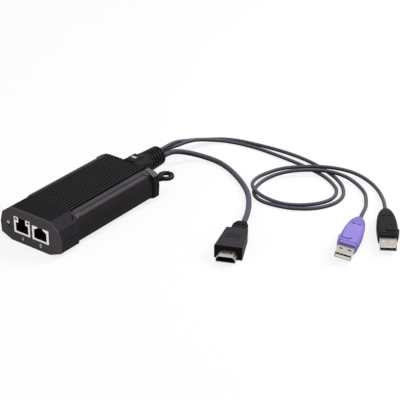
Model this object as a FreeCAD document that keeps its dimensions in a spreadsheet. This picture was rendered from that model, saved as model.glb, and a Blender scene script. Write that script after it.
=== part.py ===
# KVM extender: ribbed housing, two network sockets, cable boot and three cables with plugs.
# Frame: origin at the centre of the underside, +Y towards the cables, +Z up, millimetres.
import FreeCAD, Part
import Sketcher
import math
import os
from types import SimpleNamespace

SIZES = {
    # Housing: eight-sided section, seen from the front
    "housing_length": 111.4,
    "top_height": 26.4,
    "top_half": 18.8,
    "shoulder_height": 20.8,
    "shoulder_half": 26.6,
    "parting_height": 12.7,
    "belt_half": 28.8,
    "foot_height": 3.9,
    "foot_half": 28.2,
    "base_half": 18.4,
    "wall": 2.2,
    "floor_wall": 2.0,
    "top_wall": 1.5,
    "parting_gap": 0.5,
    "parting_depth": 0.9,
    # Waist between the front block and the rear cap
    "front_block": 20.5,
    "belt_inset": 1.3,
    "shoulder_inset": 0.7,
    "foot_inset": 1.2,
    "foot_rise": 0.8,
    # Cooling grooves along the top
    "groove_count": 12,
    "groove_pitch": 2.82,
    "groove_width": 1.3,
    "groove_depth": 1.5,
    "groove_start": 22.6,
    "edge_groove_centre": 18.9,
    "edge_groove_width": 2.4,
    "edge_groove_depth": 2.0,
    "wedge_tip_drop": 8.4,
    "wedge_tip_start": 17.6,
    "wedge_width": 2.2,
    "wedge_depth": 1.2,
    "panel_recess": 0.7,
    "brow_in": 1.6,
    "brow_up": 0.7,
    "brow_out": 0.6,
    "brow_down": 3.2,
    "panel_drop": 3.9,
    "panel_top_start": 29.1,
    "panel_top_end": 99.3,
    "panel_low_drop": 8.3,
    "panel_low_start": 24.4,
    "panel_low_end": 106.8,
    # Front panel and rear cap
    "panel_thick": 2.0,
    "panel_edge": 0.8,
    "cap_length": 5.9,
    "cap_wall": 2.2,
    "cap_bevel": 3.2,
    "cap_shoulder_half": 28.0,
    "cap_shoulder_height": 21.5,
    "rim_depth": 3.0,
    "rim_wall": 1.0,
    "rim_clearance": 0.15,
    "ring_radius": 6.3,
    "ring_hole_radius": 3.0,
    "ring_thick": 2.8,
    "ring_round": 0.8,
    "ring_x": 27.3,
    "ring_reach": 9.8,
    "ring_height": 16.0,
    "ring_neck_inner": 20.5,
    "ring_neck_outer": 26.0,
    # Screws and bosses
    "boss_radius": 2.8,
    "boss_x": 15.0,
    "boss_front": 26.7,
    "boss_rear": 15.7,
    "screw_radius": 1.25,
    "screw_bite": 7.5,
    "screw_tip_gap": 1.1,
    "screw_head_radius": 2.3,
    "screw_head_height": 1.7,
    "screw_head_inset": 0.4,
    "screw_cross_reach": 1.3,
    "screw_cross_half": 0.3,
    "screw_cross_depth": 0.9,
    "screw_clearance": 0.1,
    # Circuit board
    "board_half": 22.8,
    "board_thick": 1.6,
    "board_top": 7.4,
    "board_front_gap": 0.2,
    "board_rear_gap": 11.2,
    # Sockets
    "jack_half": 8.0,
    "jack_inset": 0.5,
    "jack_sheet": 0.4,
    "jack_clearance": 0.15,
    "jack_slip": 0.05,
    "jack_mouth_half": 5.9,
    "jack_mouth_low": 1.6,
    "jack_mouth_depth": 12.6,
    "lan_x": -7.8,
    "lan_height": 13.2,
    "lan_length": 21.0,
    "lan_mouth_high": 8.6,
    "lan_notch_half": 3.5,
    "lan_notch_high": 12.9,
    "console_x": 9.7,
    "console_height": 11.5,
    "console_length": 16.0,
    "console_mouth_high": 8.5,
    "console_notch_half": 2.3,
    "console_notch_high": 11.2,
    "console_corner_high": 10.5,
    "console_window_extra": 0.9,
    "contact_pitch": 1.02,
    "contact_count": 8,
    "contact_width": 0.4,
    "contact_thick": 0.35,
    "contact_foot": 1.2,
    "contact_run": 7.0,
    "contact_rise": 1.6,
    "contact_inset": 2.2,
    "led_offset": 5.75,
    "led_half": 1.25,
    "led_low": 10.2,
    "led_high": 12.0,
    "led_length": 9.0,
    # Reset switch behind the pinhole
    "reset_x": -20.3,
    "reset_above": 4.0,
    "pinhole_radius": 1.0,
    "plunger_radius": 1.1,
    "plunger_gap": 1.0,
    "plunger_out": 2.0,
    "plunger_in": 1.2,
    "plunger_travel": 0.4,
    "plunger_clearance": 0.05,
    "switch_half": 2.2,
    "switch_length": 4.0,
    "switch_above": 2.2,
    "switch_cover": 0.3,
    # Parts on the board
    "processor_half": 8.5,
    "processor_height": 1.6,
    "processor_back": 43.7,
    "memory_half_x": 4.0,
    "memory_half_y": 6.0,
    "memory_height": 1.1,
    "memory_x": 16.0,
    "memory_back": 45.7,
    "memory_gap": 14.0,
    "video_half": 5.0,
    "video_height": 1.1,
    "video_x": 6.0,
    "video_ahead": 37.7,
    "flash_half_x": 2.6,
    "flash_half_y": 3.0,
    "flash_height": 1.8,
    "flash_x": -15.0,
    "flash_back": 43.7,
    "transformer_half_x": 6.3,
    "transformer_half_y": 4.7,
    "transformer_height": 5.5,
    "transformer_x": 4.5,
    "transformer_back": 26.7,
    "crystal_half_x": 5.6,
    "crystal_half_y": 2.3,
    "crystal_height": 3.5,
    "crystal_x": -8.0,
    "crystal_back": 60.7,
    "inductor_half": 3.5,
    "inductor_height": 3.2,
    "inductor_x": -14.0,
    "inductor_back": 75.7,
    "capacitor_radius": 2.5,
    "capacitor_height": 7.0,
    "capacitor_x": -15.0,
    "capacitor_back": 67.7,
    "capacitor_gap": 7.0,
    "header_half_y": 2.2,
    "header_height": 2.6,
    "video_header_ahead": 18.7,
    "usb_header_ahead": 27.7,
    "usb_lead_stagger": 2.0,
    "video_header_half": 5.0,
    "usb_header_half": 3.6,
    # Cable boot, measured from its own axis
    "boot_x": 2.5,
    "boot_drop": 8.9,
    "boot_length": 34.2,
    "boot_clearance": 0.1,
    "boot_top": 9.1,
    "boot_top_half": 4.9,
    "boot_side_half": 8.0,
    "boot_side_top": 6.5,
    "boot_side_low": -6.0,
    "boot_low": -9.0,
    "boot_low_half": 5.0,
    "boot_flange_grow": 1.5,
    "boot_flange_thick": 2.0,
    "boot_flange_top": 3.8,
    "boot_neck_half": 7.8,
    "boot_neck_corner": 3.0,
    "collar_length": 14.6,
    "collar_start_radius": 8.3,
    "collar_end_radius": 7.7,
    "collar_rib_count": 5,
    "collar_groove_width": 1.3,
    "collar_groove_depth": 1.3,
    "island_top": 9.5,
    "island_half": 4.2,
    "island_length": 11.6,
    "island_depth": 4.0,
    "lens_x": -0.5,
    "lens_half_x": 2.15,
    "lens_half_y": 1.15,
    "lens_back": 6.2,
    "lens_deep": 2.4,
    "lens_proud": 0.1,
    "lens_clearance": 0.05,
    # Cables and where they leave the boot, from its axis
    "hdmi_cable_radius": 2.1,
    "hdmi_exit_x": 1.6,
    "hdmi_exit_z": -1.6,
    "usb_cable_radius": 1.45,
    "purple_exit_x": -0.6,
    "purple_exit_z": 3.0,
    "black_exit_x": -2.2,
    "black_exit_z": -0.4,
    "purple_lead_x": 0.1,
    "purple_lead_z": 1.7,
    "hdmi_straight": 11.4,
    "usb_straight": 14.2,
    # Video plug, from the cable entry forwards
    "hdmi_length": 40.0,
    "hdmi_front_half": 10.2,
    "hdmi_back_half": 8.0,
    "hdmi_half_height": 5.2,
    "hdmi_back_at": 12.0,
    "hdmi_relief_half": 5.6,
    "hdmi_relief_shift": 0.9,
    "hdmi_relief_round": 2.4,
    "hdmi_relief_step": 0.9,
    "hdmi_nose_half": 3.2,
    "hdmi_nose_at": 5.0,
    "hdmi_corner": 1.6,
    "hdmi_edge": 0.6,
    "hdmi_slit_at": 5.6,
    "hdmi_slit_half": 0.7,
    "hdmi_slit_inner": 0.6,
    "hdmi_slit_outer": 4.2,
    "hdmi_slit_depth": 0.9,
    "hdmi_wave_count": 3,
    "hdmi_wave_back": 18.0,
    "hdmi_wave_pitch": 2.4,
    "hdmi_wave_half": 5.4,
    "hdmi_wave_rise": 0.5,
    "hdmi_wave_width": 0.6,
    "hdmi_wave_depth": 0.3,
    "hdmi_shell_half": 6.95,
    "hdmi_shell_top_half": 5.2,
    "hdmi_shell_half_height": 2.25,
    "hdmi_shell_shoulder": 0.2,
    "hdmi_shell_out": 8.8,
    "hdmi_shell_drop": 0.5,
    "hdmi_hole_x": 2.6,
    "hdmi_hole_half": 0.8,
    "hdmi_hole_out": 2.6,
    "hdmi_shell_sheet": 0.3,
    "hdmi_slot_half": 5.0,
    "hdmi_slot_half_height": 0.85,
    "hdmi_slot_depth": 8.0,
    "hdmi_contact_count": 10,
    "hdmi_contact_pitch": 1.0,
    "hdmi_contact_width": 0.45,
    "hdmi_contact_thick": 0.2,
    "hdmi_contact_inset": 1.8,
    # USB plugs, from the cable entry forwards
    "usb_length": 43.0,
    "usb_tip_half": 2.9,
    "usb_tip_half_height": 2.7,
    "usb_tip_round": 2.3,
    "usb_neck_at": 3.5,
    "usb_neck_half": 4.5,
    "usb_neck_half_height": 3.4,
    "usb_taper_at": 11.0,
    "usb_taper_half": 6.3,
    "usb_taper_half_height": 4.0,
    "usb_belly_at": 22.0,
    "usb_belly_half": 7.5,
    "usb_belly_half_height": 4.3,
    "usb_grip_at": 32.5,
    "usb_front_half": 7.2,
    "usb_front_half_height": 4.2,
    "usb_collar_length": 3.0,
    "usb_collar_step": 0.35,
    "usb_round": 2.6,
    "usb_grip_reach": 8.6,
    "usb_grip_back": 9.4,
    "usb_grip_run": 4.0,
    "usb_grip_half_height": 3.0,
    "usb_thumb_back": 10.8,
    "usb_thumb_width": 5.0,
    "usb_thumb_tip": 1.4,
    "usb_thumb_side": 5.6,
    "usb_thumb_proud": 0.7,
    "usb_thumb_round": 0.35,
    "usb_slit_back": 29.0,
    "usb_slit_half": 0.6,
    "usb_slit_inner": 0.9,
    "usb_slit_outer": 3.3,
    "usb_slit_depth": 1.2,
    "usb_purple_lean": 9.0,
    "usb_shell_half": 6.0,
    "usb_shell_half_height": 2.25,
    "usb_shell_out": 11.8,
    "usb_shell_sheet": 0.35,
    "usb_hole_half_x": 1.25,
    "usb_hole_half_y": 0.9,
    "usb_hole_x": 3.1,
    "usb_hole_out": 5.6,
    "usb_seam": 0.2,
    "usb_tongue_half": 5.5,
    "usb_tongue_top": -0.1,
    "usb_tongue_inset": 0.5,
    "usb_contact_pitch": 2.5,
    "usb_contact_count": 4,
    "usb_contact_width": 1.1,
    "usb_contact_thick": 0.15,
    "usb_contact_length": 7.0,
    "plug_seat": 3.0,
    "plug_clearance": 0.05,
}

doc = FreeCAD.newDocument("kvm_extender")
sheet = doc.addObject("Spreadsheet::Sheet", "Sizes")
for row, (alias, value) in enumerate(SIZES.items(), start=1):
    sheet.set(f"A{row}", alias)
    sheet.set(f"B{row}", str(value))
    sheet.setAlias(f"B{row}", alias)
doc.recompute()

PARTS = []
NORMAL_SIGN = {"XY_Plane": 1, "XZ_Plane": -1, "YZ_Plane": 1}


class Size:
    # A length: its number, and the sheet expression that gives it
    def __init__(self, number, text):
        self.number = number
        self.text = text

    def __add__(self, other):
        other = as_size(other)
        return Size(self.number + other.number, f"({self.text} + {other.text})")

    def __sub__(self, other):
        other = as_size(other)
        return Size(self.number - other.number, f"({self.text} - {other.text})")

    def __mul__(self, other):
        other = as_size(other)
        return Size(self.number * other.number, f"({self.text} * {other.text})")

    def __truediv__(self, other):
        other = as_size(other)
        return Size(self.number / other.number, f"({self.text} / {other.text})")

    def __rmul__(self, other):
        return as_size(other) * self

    def __neg__(self):
        return Size(-self.number, f"(-{self.text})")


def as_size(value):
    return value if isinstance(value, Size) else Size(float(value), f"({float(value)})")


S = SimpleNamespace(**{alias: Size(float(sheet.get(alias)), f"Sizes.{alias}") for alias in SIZES})


def bind(target, path, size):
    target.setExpression(path, as_size(size).text)


# Sketch and feature helpers
def new_body(label):
    body = doc.addObject("PartDesign::Body", label)
    body.AllowCompound = True
    PARTS.append(body)
    return body


def origin_item(body, role):
    return next(item for item in body.Origin.OriginFeatures if item.Role == role)


def fix_point(sketch, geometry, vertex, x, y):
    for kind, size in (("DistanceX", x), ("DistanceY", y)):
        index = sketch.addConstraint(Sketcher.Constraint(kind, -1, 1, geometry, vertex, size.number))
        sketch.setExpression(f"Constraints[{index}]", size.text)


def polygon(points):
    corners = [(as_size(x), as_size(y)) for x, y in points]

    def draw(sketch):
        first = sketch.GeometryCount
        count = len(corners)
        for k, (x, y) in enumerate(corners):
            next_x, next_y = corners[(k + 1) % count]
            start = FreeCAD.Vector(x.number, y.number, 0)
            end = FreeCAD.Vector(next_x.number, next_y.number, 0)
            sketch.addGeometry(Part.LineSegment(start, end), False)
        for k, (x, y) in enumerate(corners):
            follower = first + (k + 1) % count
            sketch.addConstraint(Sketcher.Constraint("Coincident", first + k, 2, follower, 1))
            fix_point(sketch, first + k, 1, x, y)
    return draw


def rectangle(x_low, x_high, y_low, y_high):
    return polygon([(x_low, y_low), (x_high, y_low), (x_high, y_high), (x_low, y_high)])


def circle(x, y, radius):
    def draw(sketch):
        centre = FreeCAD.Vector(as_size(x).number, as_size(y).number, 0)
        index = sketch.addGeometry(Part.Circle(centre, FreeCAD.Vector(0, 0, 1), radius.number), False)
        limit = sketch.addConstraint(Sketcher.Constraint("Radius", index, radius.number))
        sketch.setExpression(f"Constraints[{limit}]", radius.text)
        fix_point(sketch, index, 3, as_size(x), as_size(y))
    return draw


def rounded_box(half_x, half_y, radius):
    # Straight sides joined by four quarter arcs, drawn anticlockwise
    flat_x = half_x - radius
    flat_y = half_y - radius
    sides = [((-flat_x, -half_y), (flat_x, -half_y)), ((half_x, -flat_y), (half_x, flat_y)),
             ((flat_x, half_y), (-flat_x, half_y)), ((-half_x, flat_y), (-half_x, -flat_y))]
    centres = [(flat_x, -flat_y), (flat_x, flat_y), (-flat_x, flat_y), (-flat_x, -flat_y)]

    def draw(sketch):
        for start, end in sides:
            ends = [FreeCAD.Vector(x.number, y.number, 0) for x, y in (start, end)]
            line = sketch.addGeometry(Part.LineSegment(*ends), False)
            fix_point(sketch, line, 1, *start)
            fix_point(sketch, line, 2, *end)
        for k, (x, y) in enumerate(centres):
            centre = FreeCAD.Vector(x.number, y.number, 0)
            whole = Part.Circle(centre, FreeCAD.Vector(0, 0, 1), radius.number)
            turn = (k - 1) * math.pi / 2
            arc = sketch.addGeometry(Part.ArcOfCircle(whole, turn, turn + math.pi / 2), False)
            sketch.addConstraint(Sketcher.Constraint("Coincident", k, 2, arc, 1))
            sketch.addConstraint(Sketcher.Constraint("Coincident", arc, 2, (k + 1) % 4, 1))
            index = sketch.addConstraint(Sketcher.Constraint("DistanceX", -1, 1, arc, 3, x.number))
            sketch.setExpression(f"Constraints[{index}]", x.text)
    return draw


def new_sketch(body, name, role, shapes, level):
    sketch = body.newObject("Sketcher::SketchObject", name)
    sketch.AttachmentSupport = [(origin_item(body, role), "")]
    sketch.MapMode = "FlatFace"
    bind(sketch, "AttachmentOffset.Base.z", as_size(level) * NORMAL_SIGN[role])
    for draw in shapes:
        draw(sketch)
    return sketch


def add(body, name, role, shapes, start, stop):
    # A pad of the shapes from one level to a higher one along the plane's axis
    feature = body.newObject("PartDesign::Pad", name)
    feature.Profile = new_sketch(body, f"{name}_sketch", role, shapes, start)
    feature.Reversed = NORMAL_SIGN[role] < 0
    bind(feature, "Length", as_size(stop) - start)
    body.Tip = feature
    return feature


def cut(body, name, role, shapes, start, stop):
    # A pocket of the shapes from one level to a higher one along the plane's axis
    feature = body.newObject("PartDesign::Pocket", name)
    feature.Profile = new_sketch(body, f"{name}_sketch", role, shapes, start)
    feature.Reversed = NORMAL_SIGN[role] > 0
    bind(feature, "Length", as_size(stop) - start)
    body.Tip = feature
    return feature


def repeat_along_x(body, name, feature, pitch, count):
    pattern = body.newObject("PartDesign::LinearPattern", name)
    pattern.Originals = [feature]
    pattern.Direction = (origin_item(body, "X_Axis"), [""])
    bind(pattern, "Length", pitch * (count - 1))
    bind(pattern, "Occurrences", count)
    body.Tip = pattern
    return pattern


def dress_edges(body, kind, name, base, prop, size, wanted):
    # A fillet or chamfer on the edges that pass the test
    doc.recompute()
    edges = [f"Edge{k}" for k, edge in enumerate(base.Shape.Edges, start=1) if wanted(edge)]
    feature = body.newObject(f"PartDesign::{kind}", name)
    feature.Base = (base, edges)
    bind(feature, prop, size)
    body.Tip = feature
    return feature


def near(value, size):
    return abs(value - as_size(size).number) < 1e-4


def block(label, x_span, y_span, z_span):
    box = doc.addObject("Part::Box", label)
    spans = (("Length", "x", x_span), ("Width", "y", y_span), ("Height", "z", z_span))
    for prop, axis, (low, high) in spans:
        bind(box, prop, as_size(high) - low)
        bind(box, f"Placement.Base.{axis}", low)
    PARTS.append(box)
    return box


def around(centre, half):
    return (centre - half, centre + half)


def both_sides(points):
    # Right-hand corners from bottom to top, closed with their mirror image
    return polygon(points + [(-x, y) for x, y in reversed(points)])


# Levels along the housing
front = -S.housing_length / 2
rear = S.housing_length / 2
panel_back = front + S.panel_thick
waist = front + S.front_block
cap_front = rear - S.cap_length
cap_inside = rear - S.cap_wall
boot_front = rear - S.cap_bevel + S.boot_clearance
groove_front = front + S.groove_start
board_low = S.board_top - S.board_thick
reset_height = S.board_top + S.reset_above
boot_height = S.top_height - S.boot_drop
video_header_y = rear - S.video_header_ahead
usb_header_y = rear - S.usb_header_ahead
screw_spots = [(x, y) for x in (-S.boss_x, S.boss_x) for y in (front + S.boss_front, rear - S.boss_rear)]

# Sections of the housing
foot_corner = (S.foot_half, S.foot_height)
belt_corner = (S.belt_half, S.parting_height)
shoulder_corner = (S.shoulder_half, S.shoulder_height)
top_corner = (S.top_half, S.top_height)
base_corner = (S.base_half, as_size(0))
shoulder_slope = (S.top_height - S.shoulder_height) / (S.shoulder_half - S.top_half)

waist_belt = S.belt_half - S.belt_inset
waist_foot = S.foot_half - S.foot_inset
waist_foot_height = S.foot_height + S.foot_rise
waist_shoulder = S.shoulder_half - S.shoulder_inset
waist_shoulder_height = S.shoulder_height + S.shoulder_inset * shoulder_slope

cavity_half = waist_belt - S.wall
cavity_foot = waist_foot - S.wall
cavity_foot_height = waist_foot_height + S.floor_wall / 3
cavity_base = S.base_half - S.wall / 4
cavity_shoulder = waist_shoulder - S.wall
cavity_shoulder_height = S.shoulder_height - S.wall
cavity_top = S.top_height - S.groove_depth - S.top_wall
cavity_top_half = S.top_half - S.wall * 1.5


def cavity_section(inset):
    # Whole inside section, drawn in by an inset
    return both_sides([(cavity_base - inset, S.floor_wall + inset),
                       (cavity_foot - inset, cavity_foot_height),
                       (cavity_half - inset, S.parting_height),
                       (cavity_shoulder - inset, cavity_shoulder_height - inset),
                       (cavity_top_half - inset, cavity_top - inset)])


def four_circles(radius):
    # One circle at each screw
    return [circle(x, y, radius) for x, y in screw_spots]


def four_crosses(reach, half):
    # One cross recess at each screw
    corners = [(half, half), (reach, half), (reach, -half), (half, -half), (half, -reach), (-half, -reach),
               (-half, -half), (-reach, -half), (-reach, half), (-half, half), (-half, reach), (half, reach)]
    return [polygon([(x + across, y + along) for across, along in corners]) for x, y in screw_spots]


end_section = both_sides([base_corner, foot_corner, belt_corner, shoulder_corner, top_corner])
cap_section = both_sides([base_corner, foot_corner, belt_corner,
                          (S.cap_shoulder_half, S.cap_shoulder_height), top_corner])


def cut_grooves(body, name, start):
    # The cooling grooves and the two wide edge grooves, from a level to the rear
    bottom = S.top_height - S.groove_depth
    first = -S.groove_pitch * (S.groove_count - 1) / 2
    groove = cut(body, f"{name}_groove", "XY_Plane",
                 [rectangle(*around(first, S.groove_width / 2), start, rear)], bottom, S.top_height)
    repeat_along_x(body, f"{name}_grooves", groove, S.groove_pitch, S.groove_count)
    edges = [rectangle(*around(S.edge_groove_centre * side, S.edge_groove_width / 2), start, rear)
             for side in (-1, 1)]
    cut(body, f"{name}_edge_grooves", "XY_Plane", edges, S.top_height - S.edge_groove_depth, S.top_height)


# Upper shell: two blocks, hollow, with grooves along the top and marks on the shoulders
def make_upper_shell():
    body = new_body("upper_shell")
    add(body, "upper_front", "XZ_Plane", [both_sides([belt_corner, shoulder_corner, top_corner])],
        panel_back, waist)
    waist_points = [(waist_belt, S.parting_height), (waist_shoulder, waist_shoulder_height), top_corner]
    add(body, "upper_waist", "XZ_Plane", [both_sides(waist_points)], waist, cap_front)
    below = S.parting_height - S.wall
    inside = [(cavity_half, below), (cavity_half, S.parting_height),
              (cavity_shoulder, cavity_shoulder_height), (cavity_top_half, cavity_top)]
    cut(body, "upper_inside", "XZ_Plane", [both_sides(inside)], front, rear)
    add(body, "upper_bosses", "XY_Plane", four_circles(S.boss_radius),
        S.board_top, cavity_top + S.top_wall / 2)
    cut(body, "pilot_holes", "XY_Plane", four_circles(S.screw_radius + S.screw_clearance),
        S.board_top, S.board_top + S.screw_bite + S.screw_tip_gap)
    cut_grooves(body, "top", groove_front)
    past_edge = S.panel_low_drop + S.panel_drop
    panel = [(S.panel_drop, S.panel_top_start), (S.panel_drop, S.panel_top_end),
             (S.panel_low_drop, S.panel_low_end), (past_edge, S.panel_low_end),
             (past_edge, S.panel_low_start), (S.panel_low_drop, S.panel_low_start)]
    wedge_root = S.edge_groove_width / 4
    wedge = [(wedge_root, S.groove_start - S.wedge_width / 4), (S.wedge_tip_drop, S.wedge_tip_start),
             (wedge_root, S.groove_start + S.wedge_width)]
    for side, name in ((1, "right"), (-1, "left")):
        cut_on_shoulder(body, f"{name}_wedge", side, wedge, S.wedge_depth)
        cut_on_shoulder(body, f"{name}_panel", side, panel, S.panel_recess)
    brow_top = waist_shoulder_height + S.brow_up
    brow_low = waist_shoulder_height - S.brow_down
    brow = [(waist_shoulder - S.brow_in, brow_top), (waist_shoulder + S.brow_out, brow_low),
            (S.belt_half, brow_low), (S.belt_half, brow_top)]
    cut(body, "panel_brows", "XZ_Plane", [polygon([(x * side, z) for x, z in brow]) for side in (-1, 1)],
        front + S.panel_low_start, cap_front)


def cut_on_shoulder(body, name, side, corners, depth):
    # A shallow cut drawn on one shoulder's slope, down from the top edge and back from the front
    sketch = body.newObject("Sketcher::SketchObject", f"{name}_sketch")
    sketch.AttachmentSupport = [(origin_item(body, "XY_Plane"), "")]
    sketch.MapMode = "FlatFace"
    tilt = math.degrees(math.atan(shoulder_slope.number))
    slope = FreeCAD.Rotation(FreeCAD.Vector(0, side, 0), tilt)
    sketch.AttachmentOffset = FreeCAD.Placement(FreeCAD.Vector(), slope)
    bind(sketch, "AttachmentOffset.Base.x", S.top_half * side)
    bind(sketch, "AttachmentOffset.Base.z", S.top_height)
    sketch.setExpression("AttachmentOffset.Rotation.Angle", f"atan({shoulder_slope.text})")
    polygon([(drop * side, front + along) for drop, along in corners])(sketch)
    feature = body.newObject("PartDesign::Pocket", name)
    feature.Profile = sketch
    bind(feature, "Length", depth)
    body.Tip = feature
    return feature


# Lower shell: two blocks, hollow, with bosses under the board and sunk screw holes
def make_lower_shell():
    body = new_body("lower_shell")
    add(body, "lower_front", "XZ_Plane", [both_sides([base_corner, foot_corner, belt_corner])],
        panel_back, waist)
    waist_points = [base_corner, (waist_foot, waist_foot_height), (waist_belt, S.parting_height)]
    add(body, "lower_waist", "XZ_Plane", [both_sides(waist_points)], waist, cap_front)
    for name, belt, start, end in (("front", S.belt_half, panel_back, waist),
                                   ("waist", waist_belt, waist, cap_front)):
        gaps = [rectangle(side * (belt - S.parting_depth), side * S.belt_half,
                          S.parting_height - S.parting_gap, S.parting_height) for side in (-1, 1)]
        cut(body, f"{name}_parting", "XZ_Plane", gaps, start, end)
    above = S.parting_height + S.wall
    inside = [(cavity_base, S.floor_wall), (cavity_foot, cavity_foot_height),
              (cavity_half, S.parting_height), (cavity_half, above)]
    cut(body, "lower_inside", "XZ_Plane", [both_sides(inside)], front, rear)
    add(body, "lower_bosses", "XY_Plane", four_circles(S.boss_radius), S.floor_wall / 2, board_low)
    cut(body, "screw_holes", "XY_Plane", four_circles(S.screw_radius + S.screw_clearance), 0, board_low)
    cut(body, "screw_sinks", "XY_Plane", four_circles(S.screw_head_radius + S.screw_clearance),
        0, S.screw_head_inset + S.screw_head_height)


def make_case_screws():
    body = new_body("case_screws")
    head_top = S.screw_head_inset + S.screw_head_height
    add(body, "screw_heads", "XY_Plane", four_circles(S.screw_head_radius), S.screw_head_inset, head_top)
    add(body, "screw_shanks", "XY_Plane", four_circles(S.screw_radius), head_top, S.board_top + S.screw_bite)
    cut(body, "screw_crosses", "XY_Plane", four_crosses(S.screw_cross_reach, S.screw_cross_half),
        S.screw_head_inset, S.screw_head_inset + S.screw_cross_depth)


# Front panel: plate with two socket windows, a pinhole and a rim inside the shells
def make_front_panel():
    body = new_body("front_panel")
    plate = add(body, "panel_plate", "XZ_Plane", [end_section], front, panel_back)

    def front_edge(edge):
        return all(near(vertex.Y, front) for vertex in edge.Vertexes)
    dress_edges(body, "Fillet", "panel_round_edge", plate, "Radius", S.panel_edge, front_edge)
    rim = [cavity_section(S.rim_clearance), cavity_section(S.rim_clearance + S.rim_wall)]
    add(body, "panel_rim", "XZ_Plane", rim, panel_back, panel_back + S.rim_depth)
    gap = S.jack_half + S.jack_clearance
    low = S.board_top - S.jack_clearance
    lan_window = rectangle(*around(S.lan_x, gap), low, S.board_top + S.lan_height + S.jack_clearance)
    console_window = rectangle(S.console_x - gap, S.console_x + gap + S.console_window_extra, low,
                               S.board_top + S.console_height + S.jack_clearance)
    cut(body, "socket_windows", "XZ_Plane", [lan_window, console_window], front, panel_back + S.rim_depth)
    cut(body, "pinhole", "XZ_Plane", [circle(S.reset_x, reset_height, S.pinhole_radius)],
        front, panel_back)


# Rear cap: hollow block with the ends of the grooves, the boot's slot and the hanging ring
def make_rear_cap():
    body = new_body("rear_cap")
    whole = add(body, "cap_block", "XZ_Plane", [cap_section], cap_front, rear)

    def top_rear(edge):
        ends = [vertex.Point for vertex in edge.Vertexes]
        return all(near(point.y, rear) and near(point.z, S.top_height) for point in ends)
    dress_edges(body, "Chamfer", "cap_slope", whole, "Size", S.cap_bevel, top_rear)
    hollow_inset = S.rim_clearance + S.rim_wall
    cut(body, "cap_hollow", "XZ_Plane", [cavity_section(hollow_inset)], cap_front, cap_inside)
    rim = [cavity_section(S.rim_clearance), cavity_section(hollow_inset)]
    add(body, "cap_rim", "XZ_Plane", rim, cap_front - S.rim_depth, cap_front)
    cut_grooves(body, "cap", cap_front)
    slot = [(S.boot_low_half, S.boot_low), (S.boot_side_half, S.boot_side_low),
            (S.boot_side_half, S.boot_top * 2)]
    slack = S.boot_clearance
    right = [(S.boot_x + x + slack, boot_height + z - slack) for x, z in slot]
    left = [(S.boot_x - x - slack, boot_height + z - slack) for x, z in reversed(slot)]
    cut(body, "boot_slot", "XZ_Plane", [polygon(right + left)], rear - S.cap_bevel, rear)
    ring_y = rear + S.ring_reach
    ring_low = S.ring_height - S.ring_thick / 2
    ring_high = S.ring_height + S.ring_thick / 2
    root = rear - S.cap_wall / 2
    neck_half = S.ring_radius / 2
    neck = polygon([(S.ring_neck_inner, root), (S.ring_neck_outer, root),
                    (S.ring_x + neck_half, ring_y - neck_half), (S.ring_x - neck_half, ring_y - neck_half)])
    add(body, "ring_neck", "XY_Plane", [neck], ring_low, ring_high)
    add(body, "ring_disc", "XY_Plane", [circle(S.ring_x, ring_y, S.ring_radius)], ring_low, ring_high)
    hole = cut(body, "ring_hole", "XY_Plane", [circle(S.ring_x, ring_y, S.ring_hole_radius)],
               ring_low, ring_high)

    def ring_rim(edge):
        on_level = near(edge.BoundBox.ZMin, edge.BoundBox.ZMax)
        return on_level and isinstance(edge.Curve, Part.Circle) and edge.BoundBox.YMin > rear.number
    dress_edges(body, "Fillet", "ring_edge", hole, "Radius", S.ring_round, ring_rim)


# One socket: folded shield, plastic insert with its mouth, and eight spring contacts
def make_socket(name, x, height, length, mouth_points, lamps):
    face = front + S.jack_inset
    back = face + length
    behind = face + S.jack_sheet
    top = S.board_top + height
    mouth = polygon([(x + across, S.board_top + up) for across, up in mouth_points]
                    + [(x - across, S.board_top + up) for across, up in reversed(mouth_points)])
    lamp_windows = [rectangle(*around(x + S.led_offset * side, S.led_half), S.board_top + S.led_low,
                              S.board_top + S.led_high) for side in lamps]

    shield = new_body(f"{name}_shield")
    add(shield, f"{name}_case", "XZ_Plane", [rectangle(*around(x, S.jack_half), S.board_top, top)],
        face, back)
    cut(shield, f"{name}_hollow", "XZ_Plane",
        [rectangle(*around(x, S.jack_half - S.jack_sheet), S.board_top - S.jack_sheet, top - S.jack_sheet)],
        behind, back - S.jack_sheet)
    cut(shield, f"{name}_window", "XZ_Plane", [mouth] + lamp_windows, face, behind)

    insert = new_body(f"{name}_insert")
    inner_half = S.jack_half - S.jack_sheet - S.jack_slip
    add(insert, f"{name}_core", "XZ_Plane",
        [rectangle(*around(x, inner_half), S.board_top, top - S.jack_sheet - S.jack_slip)],
        behind, back - S.jack_sheet - S.jack_slip)
    cut(insert, f"{name}_mouth", "XZ_Plane", [mouth], behind, behind + S.jack_mouth_depth)
    if lamp_windows:
        cut(insert, f"{name}_lamp_slots", "XZ_Plane", lamp_windows, behind, face + S.led_length)

    contacts = new_body(f"{name}_contacts")
    floor = S.board_top + S.jack_mouth_low
    foot = behind + S.contact_inset
    bend = foot + S.contact_foot
    tip = bend + S.contact_run
    strip = polygon([(foot, floor), (bend, floor), (tip, floor + S.contact_rise),
                     (tip, floor + S.contact_rise + S.contact_thick), (bend, floor + S.contact_thick),
                     (foot, floor + S.contact_thick)])
    first = x - S.contact_pitch * (S.contact_count - 1) / 2
    wire = add(contacts, f"{name}_wire", "YZ_Plane", [strip], *around(first, S.contact_width / 2))
    repeat_along_x(contacts, f"{name}_wires", wire, S.contact_pitch, S.contact_count)


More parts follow.
